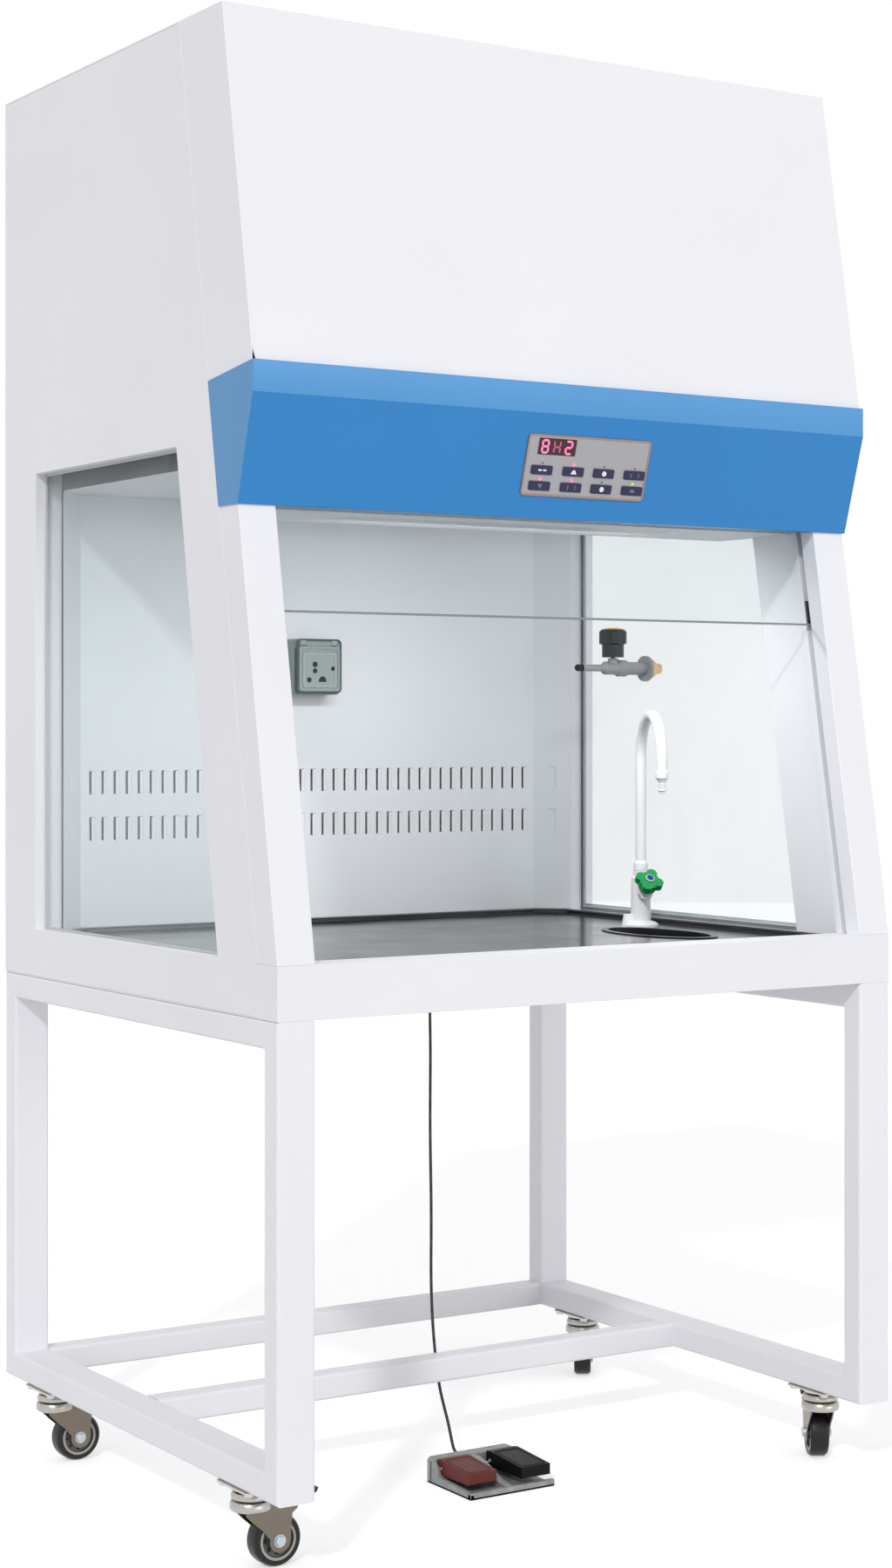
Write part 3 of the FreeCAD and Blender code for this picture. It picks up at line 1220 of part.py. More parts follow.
grip = turned([(4 + running, 0), (15, 0), (16, 4), (16, 8), (tap_knob_half - 8, 9), (tap_knob_half - 6, 12),
               (tap_knob_half - 6, 19), (tap_knob_half - 9, 22), (8, 22), (8, 23.5), (0, 23.5), (0, 19.5),
               (4 + running, 19.5)])
lobes = []
for index in range(4):
    angle = math.radians(90 * index + 45)
    lobes.append(cylinder(((tap_knob_half - 9) * math.cos(angle), (tap_knob_half - 9) * math.sin(angle), 9), 9, 12))
bore_clear = cylinder((0, 0, -1), 4 + running, 20.5)
part("faucet_knob", place(cut(fuse(grip, *lobes), bore_clear), tuple(knob_place), towards(knob_axis)))


def swan_neck():
    """The hooped tube of the tap with its collar and ribbed outlet, about the riser axis, towards +X."""
    radius, reach = float(tube_radius), float(tap_reach)
    rise, top_level = float(collar_up), float(neck_top)
    bend = reach / 2
    spring = top_level - bend
    root = rise + 0.5
    path = Part.Wire([Part.LineSegment(Vector(0, 0, root), Vector(0, 0, spring)).toShape(),
                      Part.Arc(Vector(0, 0, spring), Vector(bend, 0, top_level), Vector(reach, 0, spring)).toShape()])
    circle = Part.Wire(Part.Circle(Vector(0, 0, root), Z_AXIS, radius).toShape())
    hoop = path.makePipeShell([circle], True, False)
    return hoop


hoop = solid(swan_neck())
bend_low = neck_top - tap_reach / 2
nozzle = turned([(0, 0), (4.5, 0), (4.5, 4), (7, 5), (7, 8), (5, 9), (7, 12), (5, 13), (7, 16), (5, 17), (7, 21),
                 (tube_radius, 24), (tube_radius + 2, 26), (tube_radius + 2, 36), (tube_radius, 38),
                 (tube_radius, bend_low - outlet_up), (0, bend_low - outlet_up)])
place(nozzle, (tap_reach, 0, outlet_up))
spigot = cylinder((0, 0, collar_up - 20), tube_radius - 1.6 - running, 21)
neck_collar = turned([(0, collar_up + 0.5), (riser_radius, collar_up + 0.5), (riser_radius, collar_up + 13),
                      (tube_radius, collar_up + 17), (0, collar_up + 17)])
part("faucet_neck", place(fuse(hoop, nozzle, spigot, neck_collar), tap_foot, turn(Z_AXIS, tap_heading)))

# Sash
rise = cosine(lean)
sash_thick = glass_thick / rise
sash_top = sash_low + sash_long * rise
glass = plate("YZ_Plane", [leaning(sash_from, sash_from + sash_thick, sash_low, sash_top)], -sash_half, sash_half * 2)
clips = []
slide_near, slide_far = groove_from + air, groove_from + groove_wide - air
for side in (LEFT, RIGHT):
    for low in (sash_low, sash_top - clip_high):
        start, thickness = on_side(side, post_inner + 2, post_inner + groove_deep - 1)
        clip = plate("YZ_Plane", [leaning(slide_near, slide_far, low, low + clip_high)], start, thickness)
        start, thickness = on_side(side, post_inner + 1, sash_half)
        add_pocket(clip, "YZ_Plane", [leaning(sash_from, sash_from + sash_thick, low - 1, low + clip_high + 1)],
                   start, thickness)
        clips.append(clip)
part("sash_glass", glass, *clips)

# Sash drive under the top panel
drums = [cylinder((-drum_across - drum_wide / 2, drum_along, drum_up), rod_radius, drum_across * 2 + drum_wide, X_AXIS)]
for side in (LEFT, RIGHT):
    middle = drum_across * side - drum_wide / 2
    drums.append(cylinder((middle, drum_along, drum_up), drum_radius, 3, X_AXIS))
    drums.append(cylinder((middle + 3, drum_along, drum_up), drum_radius - 5, drum_wide - 6, X_AXIS))
    drums.append(cylinder((middle + drum_wide - 3, drum_along, drum_up), drum_radius, 3, X_AXIS))
part("sash_drum_shaft", fuse(*drums))
bearing = []
for side in (LEFT, RIGHT):
    low_side = bracket_across * side - bracket_thick / 2
    tall = plate("YZ_Plane", [[(drum_along - 18, drum_up - 16), (drum_along + 18, drum_up - 16),
                               (drum_along + 30, wall_top), (drum_along - 30, wall_top)]], low_side, bracket_thick)
    bearing.append(cut(tall, cylinder((low_side - 1, drum_along, drum_up), rod_radius + running, bracket_thick + 2,
                                      X_AXIS)))
gearbox = box((drive_left, drum_along - drive_half, drum_up - drive_half),
              (drive_left + drive_wide, drum_along + drive_half, wall_top))
motor_can = cylinder((drive_left + drive_wide / 2, drum_along + drive_half - 1, drum_up - 5), drive_motor_radius,
                     drive_motor_long, Y_AXIS)
drive = cut(fuse(gearbox, motor_can),
            cylinder((drive_left - 1, drum_along, drum_up), rod_radius + running, drive_wide + 2, X_AXIS))
part("sash_drive_motor", drive, *bearing)

# Foot switch on the floor
foot_right = foot_left + foot_wide
foot_back = foot_front + foot_long
rib_from = foot_left + rib_left
rib_to = rib_from + rib_wide
side_profile = [(foot_front, 0), (foot_back, 0), (foot_back, foot_high - 11), (foot_back - 11, foot_high),
                (foot_back - rear_block - 30, foot_high), (foot_front + 22, foot_high - 14),
                (foot_front + 6, front_lip + 4), (foot_front, front_lip)]
foot = plate("YZ_Plane", [side_profile], foot_left, foot_wide)
round_edges(foot, 8, lambda edge: runs_along(Z_AXIS)(edge) and edge.CenterOfMass.x < float(foot_left) + 1)
pocket_back = foot_back - rear_block
for low, high in ((foot_left + foot_wall, rib_from), (rib_to, foot_right + 1)):
    add_pocket(foot, "XY_Plane", [rectangle((low, foot_front + foot_wall), (high, pocket_back))], foot_floor, foot_high)
    add_pocket(foot, "XY_Plane", [rectangle((low, foot_front - 1), (high, foot_front + foot_wall + 0.1))], front_lip,
               foot_high)
hinge_y = pocket_back - 9
pins = []
for low, high in ((foot_left + foot_wall - 4, rib_from + 4), (rib_to - 4, foot_right - 1)):
    pins.append(cylinder((low, hinge_y, pedal_pin_up), pedal_pin, high - low, X_AXIS))
entry = cylinder((cord_end_across, foot_back, cord_end_up), 6, 5, Y_AXIS)
part("foot_switch_base", fuse(foot, entry, *pins))


def pedal(label, low):
    """A hinged pedal with a sloping foot face."""
    high = low + pedal_wide
    tip = hinge_y - pedal_long + 8
    outline = [(hinge_y + 6, pedal_pin_up + 7), (hinge_y + 7, pedal_pin_up - 3), (hinge_y, pedal_pin_up - 7),
               (tip, pedal_pin_up - 7), (tip, pedal_pin_up + 9), (tip + 4, pedal_pin_up + 11), (hinge_y, pedal_pin_up + 11)]
    body = plate("YZ_Plane", [outline], low, pedal_wide)
    round_edges(body, 2, runs_along(X_AXIS))
    bore = cylinder((low - 1, hinge_y, pedal_pin_up), pedal_pin + running, pedal_wide + 2, X_AXIS)
    return part(label, cut(body, bore))


pedal("red_pedal", foot_left + foot_wall + pedal_edge)
pedal("black_pedal", foot_right - pedal_edge - pedal_wide)

# Cord from the underside of the hood to the foot switch
flange = turned([(0, 0), (5, 0), (gland_radius + 1, 5), (gland_radius + 3, 6), (gland_radius + 3, gland_low),
                 (gland_radius, gland_low), (gland_radius, gland_low + skin + 5), (0, gland_low + skin + 5)])
part("cord_gland", place(flange, (gland_across, gland_along, stand_top - gland_low)))

cord_start = (44.0, 95.0, 766.0)
cord_points = [
    cord_start, (44.6, 95.0, 706.0), (46.0, 95.4, 646.0), (45.2, 95.0, 586.0), (44.4, 94.2, 526.0), (45.2, 94.0, 466.0),
    (46.8, 94.6, 406.0), (47.6, 95.6, 346.0), (47.2, 96.0, 286.0), (48.0, 95.0, 230.0), (49.0, 91.0, 180.0),
    (47.5, 80.0, 134.0), (40.0, 57.0, 98.0), (29.0, 27.0, 78.0), (16.0, -6.0, 60.0), (4.0, -34.0, 42.0),
    (-4.0, -56.0, 26.0), (-4.0, -75.0, 26.0),
]


def arc_radius(before, point, after):
    """The radius of the arc that rounds one point of the cord's route."""
    first, second = point - before, after - point
    shorter = min(first.Length, second.Length)
    return 0.45 * shorter / math.tan(first.getAngle(second) / 2)


def cord_path(points):
    """Straight runs joined by tangent arcs."""
    spots = [Vector(*point) for point in points]
    edges, radii = [], []
    last = spots[0]
    for before, point, after in zip(spots, spots[1:], spots[2:]):
        shorter = min((point - before).Length, (after - point).Length)
        into, out = (before - point).normalize(), (after - point).normalize()
        begin, finish = point + into * (0.45 * shorter), point + out * (0.45 * shorter)
        radius = arc_radius(before, point, after)
        radii.append(radius)
        bisector = (into + out).normalize()
        half_turn = (point - before).getAngle(after - point) / 2
        middle = point + bisector * (radius / math.cos(half_turn) - radius)
        edges.append(Part.LineSegment(last, begin).toShape())
        edges.append(Part.Arc(begin, middle, finish).toShape())
        last = finish
    edges.append(Part.LineSegment(last, spots[-1]).toShape())
    return Part.Wire(edges), radii


route, cord_radii = cord_path(cord_points)
start_direction = Vector(*cord_points[1]) - Vector(*cord_points[0])
section = Part.Wire(Part.Circle(Vector(*cord_points[0]), start_direction, float(cord_radius)).toShape())
cord_shape = route.makePipeShell([section], True, False)
part("foot_switch_cord", solid(cord_shape))

document.recompute()
faults = [item.Name for item in document.Objects if "Invalid" in item.State or "Error" in item.State]
if faults:
    raise RuntimeError("objects that failed: " + ", ".join(faults))
os.makedirs("parts", exist_ok=True)
for label, item in sorted(parts.items()):
    if item.Shape.isNull() or not item.Shape.isValid():
        raise RuntimeError("no valid shape: " + label)
for label, item in sorted(parts.items()):
    item.Shape.exportStep(os.path.join("parts", label + ".step"))
cord_section = math.pi * float(cord_radius) ** 2
print("cord radii", ", ".join("%.0f" % radius for radius in cord_radii))
print("cord length %.1f mm, volume %.0f, section times length %.0f"
      % (route.Length, parts["foot_switch_cord"].Shape.Volume, cord_section * route.Length))
print("nodes", len(parts))
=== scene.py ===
"""Studio scene of a ductless fume hood on a wheeled stand.

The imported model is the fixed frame. Everything is in metres: the floor is z = 0, +Z is up, +X is to the
right of someone at the sash and +Y runs from the sash to the back. Each sub-assembly is a class that dresses
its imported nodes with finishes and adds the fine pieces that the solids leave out.
"""
from __future__ import annotations

import json
import logging
import math
from dataclasses import dataclass
from enum import Enum
from typing import Callable, Iterable, Sequence, Union

import bmesh
import bpy
from mathutils import Euler, Matrix, Vector

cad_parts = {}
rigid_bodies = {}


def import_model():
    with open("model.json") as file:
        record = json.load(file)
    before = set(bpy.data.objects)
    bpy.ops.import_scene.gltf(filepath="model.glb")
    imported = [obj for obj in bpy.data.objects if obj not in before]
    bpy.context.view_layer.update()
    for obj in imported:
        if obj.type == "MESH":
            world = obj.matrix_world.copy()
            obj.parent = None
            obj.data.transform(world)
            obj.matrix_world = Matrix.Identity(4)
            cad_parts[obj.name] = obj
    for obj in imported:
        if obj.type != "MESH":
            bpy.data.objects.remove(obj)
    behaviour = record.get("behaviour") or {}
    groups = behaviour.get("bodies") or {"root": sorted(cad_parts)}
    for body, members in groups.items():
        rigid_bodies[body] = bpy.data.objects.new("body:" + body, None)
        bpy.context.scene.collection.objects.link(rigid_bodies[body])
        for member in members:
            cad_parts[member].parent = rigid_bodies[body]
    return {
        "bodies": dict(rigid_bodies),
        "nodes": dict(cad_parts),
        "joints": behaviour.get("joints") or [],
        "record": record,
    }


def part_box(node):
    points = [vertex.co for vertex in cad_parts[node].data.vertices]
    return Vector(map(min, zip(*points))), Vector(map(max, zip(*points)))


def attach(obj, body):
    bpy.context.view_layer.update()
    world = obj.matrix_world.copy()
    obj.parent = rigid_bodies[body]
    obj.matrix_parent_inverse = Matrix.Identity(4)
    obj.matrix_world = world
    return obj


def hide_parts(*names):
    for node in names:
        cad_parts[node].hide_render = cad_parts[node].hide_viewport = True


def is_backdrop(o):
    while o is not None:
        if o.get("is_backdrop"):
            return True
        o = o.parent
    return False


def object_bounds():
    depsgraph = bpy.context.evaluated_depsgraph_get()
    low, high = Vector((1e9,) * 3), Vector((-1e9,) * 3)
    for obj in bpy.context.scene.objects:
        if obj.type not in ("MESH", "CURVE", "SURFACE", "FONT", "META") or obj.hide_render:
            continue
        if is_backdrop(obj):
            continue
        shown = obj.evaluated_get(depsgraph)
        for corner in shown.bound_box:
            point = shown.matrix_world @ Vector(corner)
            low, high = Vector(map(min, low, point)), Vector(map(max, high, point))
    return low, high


LOG = logging.getLogger("fume_hood")

SIDE_PLANE = Matrix(((0, 0, 1, 0), (1, 0, 0, 0), (0, 1, 0, 0), (0, 0, 0, 1)))
FRONT_PLANE = Matrix(((1, 0, 0, 0), (0, 0, 1, 0), (0, 1, 0, 0), (0, 0, 0, 1)))
FLOOR_PLANE = Matrix.Identity(4)
UP = (0.0, 0.0, 1.0)

Colour = tuple[float, float, float]
Point = tuple[float, float, float]


class Side(Enum):
    """The two sides of the hood, by the sign of x."""

    LEFT = -1
    RIGHT = 1


class Corner(Enum):
    """The four casters: the spot of the swivel axis and the heading of the fork in degrees."""

    front_left = (-0.520, -0.330, 0.0)
    front_right = (0.520, -0.330, 60.0)
    rear_left = (-0.520, 0.330, 0.0)
    rear_right = (0.520, 0.330, 55.0)


class Icon(Enum):
    """What is printed on a key."""

    PAIR = "two short bars"
    RISE = "upward triangle"
    DOT = "round dot"
    ARCS = "two arcs"
    DROP = "downward triangle"
    BRACKETS = "two upright bars"
    SQUARE = "small square"


class Lamp(Enum):
    """State of a status light on the control plate."""

    OFF = 0
    RED = 1
    GREEN = 2


class Wire:
    """A node output in shader arithmetic; operators add Math nodes to its sheet."""

    def __init__(self, sheet: NodeSheet, socket: bpy.types.NodeSocket) -> None:
        """Keep the sheet that owns the socket."""
        self.sheet = sheet
        self.socket = socket

    def _math(self, operation: str, first: Value, second: Value) -> Wire:
        """Add one Math node.

        Args:
            operation: name of the Math node's operation.
            first: first operand.
            second: second operand.

        Returns:
            The node's result.
        """
        return self.sheet.add("ShaderNodeMath", {"operation": operation}, {0: first, 1: second})[0]

    def __add__(self, other: Value) -> Wire:
        """Sum."""
        return self._math("ADD", self, other)

    def __radd__(self, other: Value) -> Wire:
        """Sum with the number on the left."""
        return self._math("ADD", other, self)

    def __sub__(self, other: Value) -> Wire:
        """Difference."""
        return self._math("SUBTRACT", self, other)

    def __rsub__(self, other: Value) -> Wire:
        """Difference with the number on the left."""
        return self._math("SUBTRACT", other, self)

    def __mul__(self, other: Value) -> Wire:
        """Product."""
        return self._math("MULTIPLY", self, other)

    def __rmul__(self, other: Value) -> Wire:
        """Product with the number on the left."""
        return self._math("MULTIPLY", other, self)

    def __pow__(self, other: Value) -> Wire:
        """Power."""
        return self._math("POWER", self, other)


Value = Union[Wire, float, int, Sequence[float], str, bool]


class NodeSheet:
    """A node tree with one method that adds any node."""

    def __init__(self, tree: bpy.types.NodeTree) -> None:
        """Keep the tree."""
        self.tree = tree

    def add(self, kind: str, settings: dict[str, object] | None = None,
            sockets: dict[Union[str, int], object] | None = None) -> list[Wire]:
        """Add a node.

        Args:
            kind: type name of the node.
            settings: properties set first; "stops" fills a colour ramp with (position, colour) pairs.
            sockets: values or wires by the input's name or index.

        Returns:
            The node's outputs in order.
        """
        node = self.tree.nodes.new(kind)
        for name, value in (settings or {}).items():
            if name == "stops":
                elements = node.color_ramp.elements
                while len(elements) > 1:
                    elements.remove(elements[-1])
                for index, (position, colour) in enumerate(value):
                    stop = elements[0] if index == 0 else elements.new(position)
                    stop.position = position
                    stop.color = (*colour, 1.0)
            else:
                setattr(node, name, value)
        for key, value in (sockets or {}).items():
            socket = node.inputs[key]
            if isinstance(value, Wire):
                self.tree.links.new(value.socket, socket)
            elif socket.type == "RGBA" and len(value) == 3:
                socket.default_value = (*value, 1.0)
            else:
                socket.default_value = value
        return [Wire(self, output) for output in node.outputs]


class Board(NodeSheet):
    """The shader of one material."""

    def __init__(self, name: str) -> None:
        """Start an empty material.

        Args:
            name: name of the material.
        """
        self.material = bpy.data.materials.new(name)
        self.material.use_nodes = True
        super().__init__(self.material.node_tree)
        self.tree.nodes.clear()

    def place(self, stretch: Point = (1.0, 1.0, 1.0)) -> Wire:
        """Object coordinates, stretched.

        Args:
            stretch: factors along the three axes.

        Returns:
            The coordinates.
        """
        coordinates = self.add("ShaderNodeTexCoord")[3]
        return self.add("ShaderNodeMapping", None, {"Vector": coordinates, "Scale": stretch})[0]

    def noise(self, size: float, detail: float = 3.0, stretch: Point = (1.0, 1.0, 1.0)) -> Wire:
        """Fractal noise.

        Args:
            size: size of its blotches in metres.
            detail: octaves.
            stretch: factors along the three axes.

        Returns:
            A value near 0.5.
        """
        return self.add("ShaderNodeTexNoise", None, {"Vector": self.place(stretch), "Scale": 1.0 / size,
                                                     "Detail": detail, "Roughness": 0.55})[0]

    def cells(self, size: float, output: int = 0) -> Wire:
        """Voronoi cells.

        Args:
            size: size of a cell in metres.
            output: 0 for the distance to the middle, 1 for the cell's own colour.

        Returns:
            The chosen output.
        """
        return self.add("ShaderNodeTexVoronoi", None, {"Vector": self.place(), "Scale": 1.0 / size})[output]

    def mix(self, factor: Value, first: Value, second: Value, blend: str = "MIX") -> Wire:
        """Mix two colours.

        Args:
            factor: share of the second colour.
            first: colour at 0.
            second: colour at 1.
            blend: name of the blending.

        Returns:
            The mixed colour.
        """
        return self.add("ShaderNodeMix", {"data_type": "RGBA", "blend_type": blend, "clamp_factor": True},
                        {0: factor, 6: first, 7: second})[2]

    def steps(self, value: Wire, low: float, high: float) -> Wire:
        """Stretch a value so that low becomes 0 and high becomes 1, clamped.

        Args:
            value: what is stretched.
            low: value that becomes 0.
            high: value that becomes 1.

        Returns:
            The stretched value.
        """
        return self.add("ShaderNodeMapRange", None, {0: value, 1: low, 2: high, 3: 0.0, 4: 1.0})[0]

    def bump(self, height: Wire, depth: float, strength: float = 1.0) -> Wire:
        """Turn a height into a normal.

        Args:
            height: relief from 0 to 1.
            depth: depth of the relief in metres.
            strength: share of the relief that shows.

        Returns:
            The normal.
        """
        return self.add("ShaderNodeBump", None,
                        {"Height": height, "Distance": depth, "Strength": strength})[0]

    def surface(self, **sockets: object) -> bpy.types.Material:
        """Close the material with a Principled surface.

        Args:
            sockets: values by the input's name, with _ for a space.

        Returns:
            The finished material.
        """
        named = {name.replace("_", " "): value for name, value in sockets.items()}
        self.close(self.add("ShaderNodeBsdfPrincipled", None, named)[0])
        return self.material

    def close(self, shader: Wire) -> bpy.types.Material:
        """Send a shader to the output.

        Args:
            shader: the whole surface.

        Returns:
            The finished material.
        """
        self.add("ShaderNodeOutputMaterial", None, {"Surface": shader})
        return self.material


@dataclass(frozen=True)
class Coating:
    """Powder coat or paint on metal, with the fine orange peel of a sprayed film."""

    name: str
    colour: Colour
    roughness: float = 0.40
    peel: float = 0.0011
    peel_depth: float = 0.00003
    clouding: float = 0.03

    def make(self) -> bpy.types.Material:
        """Build the material."""
        board = Board(self.name)
        cloud = board.steps(board.noise(0.35, 4.0), 0.3, 0.7)
        fine = board.noise(self.peel, 2.0)
        shade = tuple(channel * (1.0 - self.clouding) for channel in self.colour)
        rough = self.roughness + 0.05 * cloud + 0.06 * (fine - 0.5)
        return board.surface(Base_Color=board.mix(cloud, self.colour, shade), Roughness=rough,
                             Normal=board.bump(fine, self.peel_depth, 0.6))


@dataclass(frozen=True)
class Moulding:
    """Moulded plastic or rubber with a fine spark texture and slightly worn high spots."""

    name: str
    colour: Colour
    roughness: float = 0.45
    grain: float = 0.0008
    grain_depth: float = 0.00004
    scuff: float = 0.12
    specular: float = 0.5

    def make(self) -> bpy.types.Material:
        """Build the material."""
        board = Board(self.name)
        fine = board.noise(self.grain, 3.0)
        worn = board.steps(board.noise(0.012, 5.0), 0.52, 0.75)
        light = tuple(min(1.0, channel * 1.5 + 0.01) for channel in self.colour)
        return board.surface(Base_Color=board.mix(worn * self.scuff, self.colour, light),
                             Roughness=self.roughness + 0.10 * worn + 0.08 * (fine - 0.5),
                             Specular_IOR_Level=self.specular, Normal=board.bump(fine, self.grain_depth, 0.7))


@dataclass(frozen=True)
class Stone:
    """Polished black composite of the worktop, with a faint speckle under a glossy face."""

    name: str
    colour: Colour
    speck: Colour
    roughness: float = 0.13

    def make(self) -> bpy.types.Material:
        """Build the material."""
        board = Board(self.name)
        speckle = board.steps(board.noise(0.0016, 2.0), 0.62, 0.72)
        haze = board.steps(board.noise(0.11, 5.0), 0.35, 0.7)
        return board.surface(Base_Color=board.mix(speckle * 0.5, self.colour, self.speck),
                             Roughness=self.roughness + 0.08 * haze,
                             Normal=board.bump(board.noise(0.02, 2.0), 0.00002, 0.4))


@dataclass(frozen=True)
class ZincPlate:
    """Bright zinc plating with the yellow and blue tints of its passivation."""

    name: str
    colour: Colour = (0.60, 0.59, 0.57)
    warm: Colour = (0.58, 0.47, 0.33)
    cold: Colour = (0.50, 0.56, 0.64)

    def make(self) -> bpy.types.Material:
        """Build the material."""
        board = Board(self.name)
        tint = board.noise(0.011, 3.0)
        warmth = board.steps(tint, 0.50, 0.66)
        cold = board.steps(tint, 0.46, 0.34)
        base = board.mix(cold * 0.6, board.mix(warmth * 0.75, self.colour, self.warm), self.cold)
        scratch = board.noise(0.0009, 2.0, (1.0, 1.0, 0.12))
        return board.surface(Base_Color=base, Metallic=1.0, Roughness=0.20 + 0.22 * scratch,
                             Normal=board.bump(scratch, 0.00002, 0.5))


@dataclass(frozen=True)
class Spangle:
    """Galvanised sheet with the crystal pattern of its zinc."""

    name: str
    colour: Colour = (0.50, 0.52, 0.54)

    def make(self) -> bpy.types.Material:
        """Build the material."""
        board = Board(self.name)
        crystal = board.cells(0.009, 1)
        grey = board.add("ShaderNodeRGBToBW", None, {0: crystal})[0]
        bright = tuple(channel * 1.3 for channel in self.colour)
        return board.surface(Base_Color=board.mix(grey, self.colour, bright), Metallic=1.0,
                             Roughness=0.30 + 0.18 * grey)


@dataclass(frozen=True)
class BrushedSheet:
    """Sheet metal brushed along X."""

    name: str
    colour: Colour
    roughness: float = 0.34
    metallic: float = 0.55

    def make(self) -> bpy.types.Material:
        """Build the material."""
        board = Board(self.name)
        brush = board.noise(0.0009, 3.0, (0.02, 1.0, 1.0))
        dark = tuple(channel * 0.82 for channel in self.colour)
        return board.surface(Base_Color=board.mix(brush, dark, self.colour), Metallic=self.metallic,
                             Roughness=self.roughness + 0.14 * (brush - 0.5),
                             Normal=board.bump(brush, 0.00002, 0.5))


@dataclass(frozen=True)
class Casting:
    """Die casting with a mottled paint film, lighter in random patches."""

    name: str
    colour: Colour
    bright: Colour

    def make(self) -> bpy.types.Material:
        """Build the material."""
        board = Board(self.name)
        mottle = board.noise(0.0035, 5.0)
        patch = board.steps(board.noise(0.02, 4.0), 0.40, 0.68)
        return board.surface(Base_Color=board.mix(patch * 0.55, self.colour, self.bright),
                             Metallic=0.25, Roughness=0.34 + 0.22 * mottle,
                             Normal=board.bump(mottle, 0.00025, 0.6))


@dataclass(frozen=True)
class Pane:
    """Clear glass: tinted see-through with a gloss that grows towards grazing angles."""

    name: str
    tint: Colour
    haze: float = 0.10
    haze_colour: Colour = (0.80, 0.86, 0.87)
    gloss: float = 0.6

    def make(self) -> bpy.types.Material:
        """Build the material."""
        board = Board(self.name)
        clear = board.add("ShaderNodeBsdfTransparent", None, {0: self.tint})[0]
        gloss = board.add("ShaderNodeBsdfPrincipled", None,
                          {"Base Color": self.haze_colour, "Roughness": 0.04, "Alpha": 1.0})[0]
        facing = board.add("ShaderNodeLayerWeight", None, {"Blend": 0.5})[1]
        smear = board.steps(board.noise(0.16, 4.0), 0.35, 0.75)
        factor = self.haze * (0.7 + 0.6 * smear) + self.gloss * facing ** 4.0
        return board.close(board.add("ShaderNodeMixShader", None, {0: factor, 1: clear, 2: gloss})[0])


@dataclass(frozen=True)
class Glow:
    """A lit face: opal diffuser or light-emitting segment, unevenly bright in small blotches."""

    name: str
    colour: Colour
    strength: float
    base: Colour = (0.8, 0.8, 0.8)

    def make(self) -> bpy.types.Material:
        """Build the material."""
        board = Board(self.name)
        uneven = board.steps(board.noise(0.004, 2.0), 0.3, 0.7)
        lit = board.mix(uneven, self.colour, tuple(channel * 0.85 for channel in self.colour))
        return board.surface(Base_Color=self.base, Roughness=0.4, Emission_Color=lit,
                             Emission_Strength=self.strength)


@dataclass(frozen=True)
class Granules:
    """A bed of carbon granules or a mat of fibres, as cells with a deep relief."""

    name: str
    colour: Colour
    light: Colour
    size: float

    def make(self) -> bpy.types.Material:
        """Build the material."""
        board = Board(self.name)
        cell = board.cells(self.size)
        fibre = board.noise(self.size * 0.4, 4.0)
        return board.surface(Base_Color=board.mix(fibre, self.colour, self.light), Roughness=0.85,
                             Normal=board.bump(1.0 - cell, self.size * 0.4, 0.8))


@dataclass(frozen=True)
class Sheath:
    """Soft cord sheath with the faint twist of the cores that it covers."""

    name: str
    colour: Colour
    light: Colour

    def make(self) -> bpy.types.Material:
        """Build the material."""
        board = Board(self.name)
        wave = board.add("ShaderNodeTexWave", {"wave_type": "BANDS", "bands_direction": "DIAGONAL"},
                         {"Vector": board.place((1.0, 1.0, 0.35)), "Scale": 55.0, "Distortion": 1.5,
                          "Detail": 2.0})[1]
        blotch = board.noise(0.02, 4.0)
        return board.surface(Base_Color=board.mix(wave * blotch, self.colour, self.light),
                             Roughness=0.42 + 0.2 * blotch, Normal=board.bump(wave, 0.00025, 0.5))


